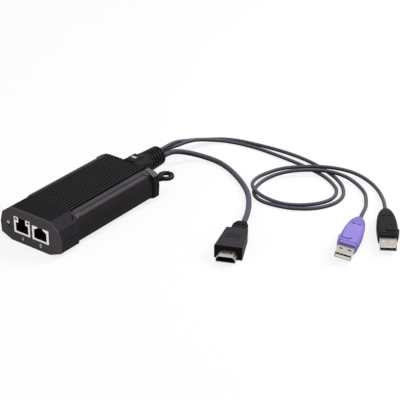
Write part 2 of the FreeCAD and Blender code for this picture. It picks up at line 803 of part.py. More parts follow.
def make_sockets():
    lan_mouth = [(S.jack_mouth_half, S.jack_mouth_low), (S.jack_mouth_half, S.lan_mouth_high),
                 (S.lan_notch_half, S.lan_mouth_high), (S.lan_notch_half, S.lan_notch_high)]
    make_socket("lan_jack", S.lan_x, S.lan_height, S.lan_length, lan_mouth, (-1, 1))
    console_mouth = [(S.jack_mouth_half, S.jack_mouth_low), (S.jack_mouth_half, S.console_mouth_high),
                     (S.console_notch_half, S.console_corner_high),
                     (S.console_notch_half, S.console_notch_high)]
    make_socket("console_jack", S.console_x, S.console_height, S.console_length, console_mouth, ())
    face = front + S.jack_inset
    lamp_height = (S.board_top + S.led_low + S.jack_slip, S.board_top + S.led_high - S.jack_slip)
    for label, side in (("lan_link_led", -1), ("lan_activity_led", 1)):
        block(label, around(S.lan_x + S.led_offset * side, S.led_half - S.jack_slip),
              (face, face + S.led_length), lamp_height)


# Reset switch: body, cover plate and the plunger that a pin pushes in
def make_reset_switch():
    tip = panel_back + S.plunger_gap
    switch_front = tip + S.plunger_out
    cover_back = switch_front + S.switch_cover
    outline = rectangle(*around(S.reset_x, S.switch_half), S.board_top, reset_height + S.switch_above)
    bore = circle(S.reset_x, reset_height, S.plunger_radius + S.plunger_clearance)
    cover = new_body("reset_switch_cover")
    add(cover, "cover_plate", "XZ_Plane", [outline, bore], switch_front, cover_back)
    body = new_body("reset_switch_body")
    add(body, "switch_block", "XZ_Plane", [outline], cover_back, switch_front + S.switch_length)
    cut(body, "switch_bore", "XZ_Plane", [bore], cover_back, switch_front + S.plunger_in + S.plunger_travel)
    plunger = new_body("reset_plunger")
    add(plunger, "plunger_rod", "XZ_Plane", [circle(S.reset_x, reset_height, S.plunger_radius)],
        tip, switch_front + S.plunger_in)


# Circuit board and the parts soldered on it
def make_board():
    body = new_body("main_board")
    board_front = panel_back + S.board_front_gap
    add(body, "board_sheet", "XY_Plane",
        [rectangle(-S.board_half, S.board_half, board_front, rear - S.board_rear_gap)],
        board_low, S.board_top)
    cut(body, "board_holes", "XY_Plane", four_circles(S.screw_radius + S.screw_clearance),
        board_low, S.board_top)

    def chip(label, x, y, half_x, half_y, height):
        block(label, around(x, half_x), around(y, half_y), (S.board_top, S.board_top + height))
    chip("processor_chip", as_size(0), front + S.processor_back, S.processor_half, S.processor_half,
         S.processor_height)
    chip("video_chip", S.video_x, rear - S.video_ahead, S.video_half, S.video_half, S.video_height)
    chip("flash_chip", S.flash_x, front + S.flash_back, S.flash_half_x, S.flash_half_y, S.flash_height)
    chip("lan_transformer", S.transformer_x, front + S.transformer_back, S.transformer_half_x,
         S.transformer_half_y, S.transformer_height)
    chip("clock_crystal", S.crystal_x, front + S.crystal_back, S.crystal_half_x, S.crystal_half_y,
         S.crystal_height)
    chip("power_inductor", S.inductor_x, front + S.inductor_back, S.inductor_half, S.inductor_half,
         S.inductor_height)
    chip("video_header", S.boot_x + S.hdmi_exit_x, video_header_y, S.video_header_half, S.header_half_y,
         S.header_height)
    usb_lead_x = S.boot_x + (S.purple_exit_x + S.black_exit_x) / 2
    chip("usb_header", usb_lead_x, usb_header_y, S.usb_header_half, S.header_half_y + S.usb_lead_stagger,
         S.header_height)
    memory = new_body("memory_chips")
    pair = [rectangle(*around(S.memory_x, S.memory_half_x), *around(y, S.memory_half_y))
            for y in (front + S.memory_back, front + S.memory_back + S.memory_gap)]
    add(memory, "memory_pair", "XY_Plane", pair, S.board_top, S.board_top + S.memory_height)
    capacitors = new_body("bulk_capacitors")
    cans = [circle(x, front + S.capacitor_back, S.capacitor_radius)
            for x in (S.capacitor_x, S.capacitor_x + S.capacitor_gap)]
    add(capacitors, "capacitor_cans", "XY_Plane", cans, S.board_top, S.board_top + S.capacitor_height)


# Cable boot: faceted block in the cap's slot, ribbed collar, flange inside the cap
boot_end = boot_front + S.boot_length
collar_start = boot_end - S.collar_length
flange_back = cap_inside - S.boot_clearance
flange_front = flange_back - S.boot_flange_thick


def collar_outline():
    # Ribs along the collar, whose radius shrinks towards the cables
    count = int(S.collar_rib_count.number)
    rib = (S.collar_length - S.collar_groove_width * (count - 1)) / count
    shrink = (S.collar_start_radius - S.collar_end_radius) / S.collar_length

    def radius(along):
        return S.collar_start_radius - (along - collar_start) * shrink
    points = [(collar_start, as_size(0))]
    for k in range(count):
        near_side = collar_start + (rib + S.collar_groove_width) * k
        far_side = near_side + rib
        if k:
            points.append((near_side, radius(near_side) - S.collar_groove_depth))
        points += [(near_side, radius(near_side)), (far_side, radius(far_side))]
        if k < count - 1:
            points.append((far_side, radius(far_side) - S.collar_groove_depth))
    return points + [(boot_end, as_size(0))]


def make_boot():
    body = new_body("cable_boot")
    bind(body, "Placement.Base.x", S.boot_x)
    bind(body, "Placement.Base.z", boot_height)
    root = both_sides([(S.boot_low_half, S.boot_low), (S.boot_side_half, S.boot_side_low),
                       (S.boot_side_half, S.boot_side_top), (S.boot_top_half, S.boot_top)])
    neck = both_sides([(S.boot_neck_corner, -S.boot_neck_half), (S.boot_neck_half, -S.boot_neck_corner),
                       (S.boot_neck_half, S.boot_neck_corner), (S.boot_neck_corner, S.boot_neck_half)])
    loft = body.newObject("PartDesign::AdditiveLoft", "boot_block")
    loft.Profile = new_sketch(body, "boot_root", "XZ_Plane", [root], boot_front)
    loft.Sections = [new_sketch(body, "boot_neck", "XZ_Plane", [neck], collar_start)]
    loft.Ruled = True
    flange_half = S.boot_side_half + S.boot_flange_grow
    flange_low = S.boot_low - S.boot_flange_grow
    add(body, "boot_flange", "XZ_Plane",
        [rectangle(-flange_half, flange_half, flange_low, S.boot_flange_top)], flange_front, flange_back)
    collar = body.newObject("PartDesign::Revolution", "boot_collar")
    collar.Profile = new_sketch(body, "collar_section", "YZ_Plane", [polygon(collar_outline())], 0)
    collar.ReferenceAxis = (collar.Profile[0], ["H_Axis"])
    collar.Angle = 360
    add(body, "lens_island", "XY_Plane",
        [rectangle(-S.island_half, S.island_half, boot_front, boot_front + S.island_length)],
        S.island_top - S.island_depth, S.island_top)
    lens_y = boot_front + S.lens_back
    lens_low = S.island_top - S.lens_deep
    hole_x = S.lens_half_x + S.lens_clearance
    hole_y = S.lens_half_y + S.lens_clearance
    cut(body, "lens_pocket", "XY_Plane", [rectangle(*around(S.lens_x, hole_x), *around(lens_y, hole_y))],
        lens_low, S.island_top)
    block("status_lens", around(S.boot_x + S.lens_x, S.lens_half_x), around(lens_y, S.lens_half_y),
          (boot_height + lens_low, boot_height + S.island_top + S.lens_proud))


# Cords: a tube along straight runs joined by tangent arcs
def cord_path(points, share):
    # Each arc takes the same share of its shorter run
    corners = [FreeCAD.Vector(*point) for point in points]
    edges = []
    radii = []
    start = corners[0]
    for before, corner, after in zip(corners, corners[1:], corners[2:]):
        arriving = (corner - before).normalize()
        leaving = (after - corner).normalize()
        half_turn = arriving.getAngle(leaving) / 2
        reach = share * min((corner - before).Length, (after - corner).Length)
        radius = reach / math.tan(half_turn)
        toward = (leaving - arriving).normalize()
        middle = corner + toward * (radius / math.cos(half_turn) - radius)
        arc_start = corner - arriving * reach
        arc_end = corner + leaving * reach
        edges.append(Part.LineSegment(start, arc_start).toShape())
        edges.append(Part.Arc(arc_start, middle, arc_end).toShape())
        radii.append(radius)
        start = arc_end
    edges.append(Part.LineSegment(start, corners[-1]).toShape())
    return Part.Wire(edges), radii


def make_tube(points, radius):
    path, radii = cord_path(points, ARC_SHARE)
    start = FreeCAD.Vector(*points[0])
    heading = FreeCAD.Vector(*points[1]) - start
    section = Part.Wire([Part.Circle(start, heading, radius).toShape()])
    tube = path.makePipeShell([section], True, False)
    ideal = math.pi * radius ** 2 * path.Length
    return tube, path.Length, min(radii), tube.Volume / ideal


def make_cord(label, points, radius):
    tube, length, tightest, share = make_tube(points, radius)
    print(f"{label}: length {length:.1f}, tightest arc {tightest:.1f}, volume share {share:.4f}")
    cord = doc.addObject("Part::Feature", label)
    cord.Shape = tube
    cord.Placement = FreeCAD.Placement()
    PARTS.append(cord)


def exit_point(across, up):
    return ((S.boot_x + across).number, boot_end.number, (boot_height + up).number)


def leave_boot(across, up, run):
    # The face of the boot and the end of the straight run out of it
    x, y, z = exit_point(across, up)
    return [(x, y, z), (x, y + run.number, z)]


ARC_SHARE = 0.45
HDMI_ROUTE = leave_boot(S.hdmi_exit_x, S.hdmi_exit_z, S.hdmi_straight) + [
    (3.2, 109.8, 13.0), (5.4, 120.6, 8.0), (13.8, 129.8, 4.0), (26.8, 133.0, 2.3), (40.4, 129.6, 2.2),
    (53.6, 121.2, 2.2), (66.8, 111.0, 2.2), (79.4, 99.8, 2.2), (90.0, 86.2, 2.4), (97.6, 74.0, 3.8),
    (103.2, 62.7, 5.3), (107.4, 52.7, 5.3)]
PURPLE_ROUTE = leave_boot(S.purple_exit_x, S.purple_exit_z, S.usb_straight) + [
    (-2.9, 117.0, 17.2), (-5.4, 132.0, 11.0), (-5.6, 146.0, 6.6), (-2.2, 158.6, 3.0), (5.6, 168.8, 1.7),
    (19.2, 174.2, 1.5), (35.4, 176.2, 1.6), (52.2, 178.0, 1.5), (70.2, 177.4, 1.6), (88.2, 174.8, 1.5),
    (105.0, 171.0, 1.6), (120.2, 164.2, 1.5), (131.6, 153.4, 1.6), (139.0, 139.8, 1.5),
    (139.2, 125.0, 1.6), (132.6, 112.0, 1.5), (120.0, 102.8, 1.6), (104.4, 99.0, 1.5), (89.4, 99.8, 1.6),
    (78.4, 107.0, 1.5), (73.2, 120.4, 1.6), (72.6, 133.4, 1.8), (78.6, 144.4, 4.4), (87.6, 153.2, 7.4),
    (99.0, 161.0, 7.6), (112.2, 166.2, 7.6), (124.6, 168.2, 6.0), (137.0, 164.4, 2.6),
    (147.8, 156.0, 1.6), (155.4, 145.6, 1.6), (161.4, 135.2, 2.8), (167.5, 120.6, 6.0),
    (171.0, 110.6, 6.0)]
BLACK_ROUTE = leave_boot(S.black_exit_x, S.black_exit_z, S.usb_straight) + [
    (-1.4, 116.0, 13.9), (-2.2, 130.5, 10.4), (-2.0, 144.0, 7.0), (1.4, 156.0, 3.4), (9.6, 165.2, 1.7),
    (22.6, 169.2, 1.5), (39.0, 170.2, 1.6), (56.0, 169.8, 1.5), (73.2, 168.2, 1.6), (90.2, 166.0, 1.5),
    (106.6, 163.0, 1.6), (119.8, 156.4, 1.5), (129.8, 146.6, 1.6), (133.8, 134.0, 1.5),
    (130.0, 121.2, 1.6), (120.0, 111.6, 1.5), (107.2, 105.8, 2.2), (94.2, 103.2, 5.0),
    (81.8, 105.0, 7.4), (71.2, 113.4, 7.4), (66.8, 127.2, 4.6), (68.4, 140.4, 3.0), (75.0, 151.0, 5.2),
    (84.8, 159.4, 7.4), (97.0, 167.0, 7.6), (110.2, 173.4, 7.2), (123.6, 178.4, 4.0),
    (137.6, 177.0, 1.8), (151.2, 169.2, 1.6), (162.0, 158.8, 2.2), (171.9, 145.2, 5.1),
    (178.4, 135.1, 5.1)]


def make_cords():
    make_cord("hdmi_cable", HDMI_ROUTE, S.hdmi_cable_radius.number)
    make_cord("usb_purple_cable", PURPLE_ROUTE, S.usb_cable_radius.number)
    make_cord("usb_black_cable", BLACK_ROUTE, S.usb_cable_radius.number)


def make_inner_leads():
    # Short tails from the boot's flange down to the two headers
    drop = (S.board_top + S.header_height).number
    leads = []
    for across, up, level, radius in (
            (S.hdmi_exit_x, S.hdmi_exit_z, video_header_y, S.hdmi_cable_radius),
            (S.purple_lead_x, S.purple_lead_z, usb_header_y - S.usb_lead_stagger, S.usb_cable_radius),
            (S.black_exit_x, S.black_exit_z, usb_header_y + S.usb_lead_stagger, S.usb_cable_radius)):
        x, _, z = exit_point(across, up)
        route = [(x, flange_front.number, z), (x, level.number, z), (x, level.number, drop)]
        leads.append(make_tube(route, radius.number)[0])
    group = doc.addObject("Part::Feature", "inner_leads")
    group.Shape = Part.makeCompound(leads)
    group.Placement = FreeCAD.Placement()
    PARTS.append(group)


# Plugs: each is drawn from its cable entry along +Y, then set at the end of its route
def plug_place(route, roll, aside):
    # The cable enters beside the plug's middle line
    tail = FreeCAD.Vector(*route[-2])
    nose = FreeCAD.Vector(*route[-1])
    heading = nose - tail
    turn = math.degrees(math.atan2(-heading.x, heading.y))
    upright = FreeCAD.Rotation(FreeCAD.Vector(0, 0, 1), turn)
    entry = upright.multVec(FreeCAD.Vector(as_size(aside).number, 0, 0))
    rolled = upright.multiply(FreeCAD.Rotation(FreeCAD.Vector(0, 1, 0), roll))
    return FreeCAD.Placement(nose - entry, rolled)


def grip_wave(k):
    # One wavy grip line across the top of the video plug
    steps = 8
    middle = S.hdmi_length - S.hdmi_wave_back + S.hdmi_wave_pitch * k
    line = [(S.hdmi_wave_half * (2 * step / steps - 1),
             middle + S.hdmi_wave_rise * math.sin(2 * math.pi * step / steps)) for step in range(steps + 1)]
    half = S.hdmi_wave_width / 2
    return polygon([(x, y - half) for x, y in line] + [(x, y + half) for x, y in reversed(line)])


def make_hdmi_plug(route):
    place = plug_place(route, 0, -S.hdmi_relief_shift)
    root = S.hdmi_length - S.plug_seat
    shell_end = S.hdmi_length + S.hdmi_shell_out
    axis = -S.hdmi_shell_drop

    def shell_section(inset):
        return both_sides([(S.hdmi_shell_half - inset, axis + inset - S.hdmi_shell_half_height),
                           (S.hdmi_shell_half - inset, axis + S.hdmi_shell_shoulder - inset / 2),
                           (S.hdmi_shell_top_half - inset, axis + S.hdmi_shell_half_height - inset)])

    body = new_body("hdmi_overmould")
    body.Placement = place
    relief = [(S.hdmi_nose_half, as_size(0)), (S.hdmi_relief_half, S.hdmi_nose_at),
              (S.hdmi_relief_half, S.hdmi_back_at)]
    relief += [(-x, y) for x, y in reversed(relief)]
    relief_top = S.hdmi_half_height - S.hdmi_relief_step
    stem = add(body, "hdmi_relief", "XY_Plane", [polygon([(x - S.hdmi_relief_shift, y) for x, y in relief])],
               -relief_top, relief_top)

    def relief_corner(edge):
        box = edge.BoundBox
        return box.ZLength > S.hdmi_half_height.number and box.YMin < S.hdmi_back_at.number / 2
    dress_edges(body, "Fillet", "hdmi_relief_corners", stem, "Radius", S.hdmi_relief_round, relief_corner)
    slits = [rectangle(side * S.hdmi_slit_inner - S.hdmi_relief_shift,
                       side * S.hdmi_slit_outer - S.hdmi_relief_shift,
                       *around(S.hdmi_slit_at, S.hdmi_slit_half)) for side in (-1, 1)]
    cut(body, "hdmi_slits", "XY_Plane", slits, relief_top - S.hdmi_slit_depth, relief_top)
    head = both_sides([(S.hdmi_back_half, S.hdmi_back_at), (S.hdmi_front_half, S.hdmi_length)])
    solid = add(body, "hdmi_head", "XY_Plane", [head], -S.hdmi_half_height, S.hdmi_half_height)

    def back_corner(edge):
        box = edge.BoundBox
        upright = box.ZLength > S.hdmi_half_height.number
        return upright and near(box.YMin, S.hdmi_back_at) and near(abs(box.XMin), S.hdmi_back_half)
    rounded = dress_edges(body, "Fillet", "hdmi_back_round", solid, "Radius", S.hdmi_corner, back_corner)

    def level_edge(edge):
        box = edge.BoundBox
        level = near(box.ZMin, box.ZMax) and near(abs(box.ZMin), S.hdmi_half_height)
        return level and box.YMax > S.hdmi_back_at.number
    dress_edges(body, "Fillet", "hdmi_edge_round", rounded, "Radius", S.hdmi_edge, level_edge)
    cut(body, "hdmi_seat", "XZ_Plane", [shell_section(-S.plug_clearance)], root, S.hdmi_length)
    cut(body, "hdmi_waves", "XY_Plane", [grip_wave(k) for k in range(int(S.hdmi_wave_count.number))],
        S.hdmi_half_height - S.hdmi_wave_depth, S.hdmi_half_height)

    shell = new_body("hdmi_shell")
    shell.Placement = place
    add(shell, "hdmi_tube", "XZ_Plane", [shell_section(as_size(0)), shell_section(S.hdmi_shell_sheet)],
        root, shell_end)
    holes = [rectangle(*around(S.hdmi_hole_x * side, S.hdmi_hole_half),
                       *around(S.hdmi_length + S.hdmi_hole_out, S.hdmi_hole_half)) for side in (-1, 1)]
    cut(shell, "hdmi_holes", "XY_Plane", holes, 0, S.hdmi_shell_half_height)

    insert = new_body("hdmi_insert")
    insert.Placement = place
    insert_end = shell_end - S.hdmi_contact_inset
    add(insert, "hdmi_core", "XZ_Plane", [shell_section(S.hdmi_shell_sheet + S.plug_clearance)],
        root, insert_end)
    slot_root = insert_end - S.hdmi_slot_depth
    slot = rectangle(-S.hdmi_slot_half, S.hdmi_slot_half, *around(axis, S.hdmi_slot_half_height))
    cut(insert, "hdmi_slot", "XZ_Plane", [slot], slot_root, insert_end)

    contacts = new_body("hdmi_contacts")
    contacts.Placement = place
    lower = S.hdmi_contact_count - 1
    ceiling = axis + S.hdmi_slot_half_height - S.hdmi_contact_thick
    for name, count, low in (("upper", S.hdmi_contact_count, ceiling),
                             ("lower", lower, axis - S.hdmi_slot_half_height)):
        first = -S.hdmi_contact_pitch * (count - 1) / 2
        strip = rectangle(*around(first, S.hdmi_contact_width / 2), low, low + S.hdmi_contact_thick)
        pad = add(contacts, f"hdmi_{name}_strip", "XZ_Plane", [strip],
                  slot_root, insert_end - S.hdmi_contact_inset)
        repeat_along_x(contacts, f"hdmi_{name}_strips", pad, S.hdmi_contact_pitch, count)


def make_usb_plug(name, route, roll):
    place = plug_place(route, roll, 0)
    root = S.usb_length - S.plug_seat
    shell_end = S.usb_length + S.usb_shell_out
    inner_half = S.usb_shell_half - S.usb_shell_sheet
    inner_height = S.usb_shell_half_height - S.usb_shell_sheet

    def shell_section(inset):
        half_x = S.usb_shell_half - inset
        half_z = S.usb_shell_half_height - inset
        return rectangle(-half_x, half_x, -half_z, half_z)

    body = new_body(f"{name}_overmould")
    body.Placement = place
    collar_back = S.usb_length - S.usb_collar_length
    sections = [(as_size(0), S.usb_tip_half, S.usb_tip_half_height, S.usb_tip_round),
                (S.usb_neck_at, S.usb_neck_half, S.usb_neck_half_height, S.usb_round),
                (S.usb_taper_at, S.usb_taper_half, S.usb_taper_half_height, S.usb_round),
                (S.usb_belly_at, S.usb_belly_half, S.usb_belly_half_height, S.usb_round),
                (S.usb_grip_at, S.usb_belly_half, S.usb_belly_half_height, S.usb_round),
                (collar_back, S.usb_front_half, S.usb_front_half_height, S.usb_round)]
    sketches = [new_sketch(body, f"{name}_section", "XZ_Plane", [rounded_box(half_x, half_z, corner)], along)
                for along, half_x, half_z, corner in sections]
    loft = body.newObject("PartDesign::AdditiveLoft", f"{name}_form")
    loft.Profile = sketches[0]
    loft.Sections = sketches[1:]
    body.Tip = loft
    grip_back = S.usb_length - S.usb_grip_back
    inside = S.usb_belly_half / 2
    grip = polygon([(inside, grip_back - S.usb_grip_run), (S.usb_front_half, grip_back - S.usb_grip_run),
                    (S.usb_grip_reach, grip_back), (S.usb_front_half, collar_back), (inside, collar_back)])
    add(body, f"{name}_grip", "XY_Plane", [grip], -S.usb_grip_half_height, S.usb_grip_half_height)
    thumb_back = S.usb_length - S.usb_thumb_back
    thumb_front = thumb_back + S.usb_thumb_width
    thumb = polygon([(S.usb_thumb_side, thumb_back), (S.usb_thumb_tip, thumb_back),
                     (-S.usb_thumb_tip, thumb_back + S.usb_thumb_width / 2), (as_size(0), thumb_front),
                     (S.usb_thumb_side, thumb_front)])
    thumb_top = S.usb_belly_half_height + S.usb_thumb_proud
    pad = add(body, f"{name}_thumb", "XY_Plane", [thumb], -thumb_top, thumb_top)

    def thumb_rim(edge):
        return all(near(abs(vertex.Z), thumb_top) for vertex in edge.Vertexes)
    dress_edges(body, "Fillet", f"{name}_thumb_round", pad, "Radius", S.usb_thumb_round, thumb_rim)
    step = S.usb_collar_step
    add(body, f"{name}_collar", "XZ_Plane",
        [rounded_box(S.usb_front_half - step, S.usb_front_half_height - step, S.usb_round - step)],
        collar_back, S.usb_length)
    slits = [rectangle(side * S.usb_slit_inner, side * S.usb_slit_outer,
                       *around(S.usb_length - S.usb_slit_back, S.usb_slit_half)) for side in (-1, 1)]
    slit_low = S.usb_belly_half_height - S.usb_slit_depth
    for face, low in (("top", slit_low), ("under", -S.usb_belly_half_height)):
        cut(body, f"{name}_{face}_slits", "XY_Plane", slits, low, low + S.usb_slit_depth)
    cut(body, f"{name}_seat", "XZ_Plane", [shell_section(-S.plug_clearance)], root, S.usb_length)

    shell = new_body(f"{name}_shell")
    shell.Placement = place
    add(shell, f"{name}_tube", "XZ_Plane", [shell_section(as_size(0)), shell_section(S.usb_shell_sheet)],
        root, shell_end)
    holes = [rectangle(*around(S.usb_hole_x * side, S.usb_hole_half_x),
                       *around(S.usb_length + S.usb_hole_out, S.usb_hole_half_y)) for side in (-1, 1)]
    cut(shell, f"{name}_holes", "XY_Plane", holes, -S.usb_shell_half_height, S.usb_shell_half_height)
    cut(shell, f"{name}_seam", "XY_Plane", [rectangle(*around(as_size(0), S.usb_seam / 2), root, shell_end)],
        -S.usb_shell_half_height, -inner_height)

    insert = new_body(f"{name}_insert")
    insert.Placement = place
    base = shell_section(S.usb_shell_sheet + S.plug_clearance)
    add(insert, f"{name}_base", "XZ_Plane", [base], root, S.usb_length)
    tongue_end = shell_end - S.usb_tongue_inset
    tongue_low = S.plug_clearance - inner_height
    tongue = rectangle(-S.usb_tongue_half, S.usb_tongue_half, tongue_low, S.usb_tongue_top)
    add(insert, f"{name}_tongue", "XZ_Plane", [tongue], root, tongue_end)

    contacts = new_body(f"{name}_contacts")
    contacts.Placement = place
    first = -S.usb_contact_pitch * (S.usb_contact_count - 1) / 2
    strip_end = tongue_end - S.usb_tongue_inset
    strip = rectangle(*around(first, S.usb_contact_width / 2), S.usb_tongue_top,
                      S.usb_tongue_top + S.usb_contact_thick)
    pad = add(contacts, f"{name}_strip", "XZ_Plane", [strip], strip_end - S.usb_contact_length, strip_end)
    repeat_along_x(contacts, f"{name}_strips", pad, S.usb_contact_pitch, S.usb_contact_count)


def check_document():
    for item in doc.Objects:
        if "Invalid" in item.State or "Error" in item.State:
            raise RuntimeError(f"{item.Label} failed: {item.State}")
    for part in PARTS:
        if part.Shape.isNull() or not part.Shape.isValid():
            raise RuntimeError(f"{part.Label} has no valid shape")


def write_parts():
    os.makedirs("parts", exist_ok=True)
    for part in PARTS:
        part.Shape.exportStep(f"parts/{part.Label}.step")


make_upper_shell()
make_lower_shell()
make_case_screws()
make_front_panel()
make_rear_cap()
make_sockets()
make_reset_switch()
make_board()
make_boot()
make_inner_leads()
make_cords()
make_hdmi_plug(HDMI_ROUTE)
make_usb_plug("usb_purple", PURPLE_ROUTE, -S.usb_purple_lean.number)
make_usb_plug("usb_black", BLACK_ROUTE, 180)
doc.recompute()
check_document()
write_parts()
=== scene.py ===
import math
import bpy
import bmesh
from mathutils import Matrix, Vector


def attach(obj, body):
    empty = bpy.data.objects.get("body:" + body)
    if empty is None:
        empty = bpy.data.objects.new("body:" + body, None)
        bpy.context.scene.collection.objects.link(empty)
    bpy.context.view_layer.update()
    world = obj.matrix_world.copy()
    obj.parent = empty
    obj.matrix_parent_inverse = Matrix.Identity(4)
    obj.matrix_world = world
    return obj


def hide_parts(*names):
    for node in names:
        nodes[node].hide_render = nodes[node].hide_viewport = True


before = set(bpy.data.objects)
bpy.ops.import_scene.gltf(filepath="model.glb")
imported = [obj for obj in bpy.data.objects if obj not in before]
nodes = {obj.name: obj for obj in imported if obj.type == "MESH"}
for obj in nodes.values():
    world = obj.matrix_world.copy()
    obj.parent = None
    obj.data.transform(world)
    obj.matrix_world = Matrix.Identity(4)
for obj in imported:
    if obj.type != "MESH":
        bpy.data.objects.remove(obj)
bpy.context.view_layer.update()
print("frame loaded,", len(nodes), "nodes")


# small helpers for node trees
def addNode(tree, kind, values=None, **settings):
    node = tree.nodes.new(kind)
    for key, value in settings.items():
        setattr(node, key, value)
    for key, value in (values or {}).items():
        node.inputs[key].default_value = value
    return node


def addMath(tree, operation, second=None, **settings):
    values = {} if second is None else {1: second}
    return addNode(tree, "ShaderNodeMath", values, operation=operation, **settings)


def addVectorMath(tree, operation):
    return addNode(tree, "ShaderNodeVectorMath", operation=operation)


def addRange(tree, low, high, least=0.0, most=1.0):
    values = {"From Min": low, "From Max": high, "To Min": least, "To Max": most}
    return addNode(tree, "ShaderNodeMapRange", values)


def addColourMix(tree, values=None):
    return addNode(tree, "ShaderNodeMix", values, data_type="RGBA")


def wire(tree, *pairs):
    for source, target in pairs:
        tree.links.new(source, target)


def newGroup(name, inputs, outputs):
    tree = bpy.data.node_groups.new(name, "ShaderNodeTree")
    for label, kind, value in inputs:
        socket = tree.interface.new_socket(label, in_out="INPUT", socket_type="NodeSocket" + kind)
        socket.default_value = value
    for label, kind in outputs:
        tree.interface.new_socket(label, in_out="OUTPUT", socket_type="NodeSocket" + kind)
    given = tree.nodes.new("NodeGroupInput").outputs
    out = tree.nodes.new("NodeGroupOutput").inputs
    return tree, given, out


def useGroup(tree, group, values):
    return addNode(tree, "ShaderNodeGroup", values, node_tree=group)


def opaque(tone):
    return (*tone, 1)


def metres(*lengths):  # from millimetres
    return tuple(length / 1000 for length in lengths)


def addObject(name, data):
    added = bpy.data.objects.new(name, data)
    bpy.context.scene.collection.objects.link(added)
    return added


# values that several groups share
plainDark = (0.02, 0.02, 0.02, 1)  # stands in a socket until a look sets it
noiseMiddle = 0.5
noFade = (-1.0, -0.9)  # heights under the floor, so slopes keep their painted highlight all the way down

# spark-eroded mould grain: fine pits, broad tone drift, roughness that follows the pits
grainShape = {"fine": {"Detail": 3.0, "Roughness": 0.6}, "pitScale": 0.6, "pitShare": 0.45,
              "broad": {"Scale": 42.0, "Detail": 4.0, "Roughness": 0.55}}


def buildMouldGrain():
    tree, given, out = newGroup("mouldGrain", [
        ("Tone", "Color", plainDark), ("Drift", "Float", 0.2), ("Grain", "Float", 2500.0),
        ("Roughness", "Float", 0.5), ("Spread", "Float", 0.1)],
        [("Color", "Color"), ("Roughness", "Float"), ("Height", "Float")])
    place = addNode(tree, "ShaderNodeTexCoord")
    fine = addNode(tree, "ShaderNodeTexNoise", grainShape["fine"])
    pits = addNode(tree, "ShaderNodeTexVoronoi", feature="SMOOTH_F1")
    broad = addNode(tree, "ShaderNodeTexNoise", grainShape["broad"])
    for texture in (fine, pits, broad):
        wire(tree, (place.outputs["Object"], texture.inputs["Vector"]))
    pitScale = addMath(tree, "MULTIPLY", grainShape["pitScale"])
    height = addNode(tree, "ShaderNodeMix", {"Factor": grainShape["pitShare"]})
    wire(tree, (given["Grain"], fine.inputs["Scale"]), (given["Grain"], pitScale.inputs[0]),
         (pitScale.outputs[0], pits.inputs["Scale"]), (fine.outputs["Fac"], height.inputs["A"]),
         (pits.outputs["Distance"], height.inputs["B"]))
    drift = addMath(tree, "SUBTRACT", noiseMiddle)
    fineDrift = addMath(tree, "SUBTRACT", noiseMiddle)
    both = addMath(tree, "ADD")
    amount = addMath(tree, "MULTIPLY")
    lift = addMath(tree, "ADD", 1.0)
    tint = addVectorMath(tree, "SCALE")
    wire(tree, (broad.outputs["Fac"], drift.inputs[0]),
         (height.outputs["Result"], fineDrift.inputs[0]),
         (drift.outputs[0], both.inputs[0]), (fineDrift.outputs[0], both.inputs[1]),
         (both.outputs[0], amount.inputs[0]), (given["Drift"], amount.inputs[1]),
         (amount.outputs[0], lift.inputs[0]), (given["Tone"], tint.inputs[0]),
         (lift.outputs[0], tint.inputs["Scale"]), (tint.outputs["Vector"], out["Color"]))
    sway = addMath(tree, "MULTIPLY")
    rough = addMath(tree, "ADD", use_clamp=True)
    wire(tree, (both.outputs[0], sway.inputs[0]), (given["Spread"], sway.inputs[1]),
         (given["Roughness"], rough.inputs[0]), (sway.outputs[0], rough.inputs[1]),
         (rough.outputs[0], out["Roughness"]), (height.outputs["Result"], out["Height"]))
    return tree


# rounded edges for the shading, and a mask of paler edges for a painted edge highlight, broken up
# in patches
edgeRoundingAndHighlight = {"samples": 6, "turn": (0.995, 0.86), "broken": (0.38, 0.68),
            "patch": {"Scale": 260.0, "Detail": 5.0, "Roughness": 0.7}}


def buildSoftEdge():
    tree, given, out = newGroup("softEdge", [
        ("Radius", "Float", 0.0004), ("Height", "Float", 0.5), ("Relief", "Float", 0.3),
        ("Depth", "Float", 0.00005)], [("Normal", "Vector"), ("Edge Highlight", "Float")])
    bevel = addNode(tree, "ShaderNodeBevel", samples=edgeRoundingAndHighlight["samples"])
    bump = addNode(tree, "ShaderNodeBump")
    flat = addNode(tree, "ShaderNodeNewGeometry")
    dot = addVectorMath(tree, "DOT_PRODUCT")
    ramp = addRange(tree, *edgeRoundingAndHighlight["turn"])
    place = addNode(tree, "ShaderNodeTexCoord")
    patch = addNode(tree, "ShaderNodeTexNoise", edgeRoundingAndHighlight["patch"])
    broken = addRange(tree, *edgeRoundingAndHighlight["broken"])
    highlightMask = addMath(tree, "MULTIPLY", use_clamp=True)
    wire(tree, (given["Radius"], bevel.inputs["Radius"]),
         (bevel.outputs["Normal"], bump.inputs["Normal"]),
         (given["Height"], bump.inputs["Height"]), (given["Relief"], bump.inputs["Strength"]),
         (given["Depth"], bump.inputs["Distance"]), (bump.outputs["Normal"], out["Normal"]),
         (flat.outputs["Normal"], dot.inputs[0]), (bevel.outputs["Normal"], dot.inputs[1]),
         (dot.outputs["Value"], ramp.inputs["Value"]),
         (place.outputs["Object"], patch.inputs["Vector"]),
         (patch.outputs["Fac"], broken.inputs["Value"]), (ramp.outputs["Result"], highlightMask.inputs[0]),
         (broken.outputs["Result"], highlightMask.inputs[1]), (highlightMask.outputs[0], out["Edge Highlight"]))
    return tree


# rolled and plated sheet: faint draw lines, cloudy plate, a few darker specks
plateShape = {"lines": {"Scale": 1.0, "Detail": 3.0}, "dull": (0.5, 0.78), "tarnished": 0.55,
              "cloud": {"Scale": 420.0, "Detail": 5.0, "Roughness": 0.65}}


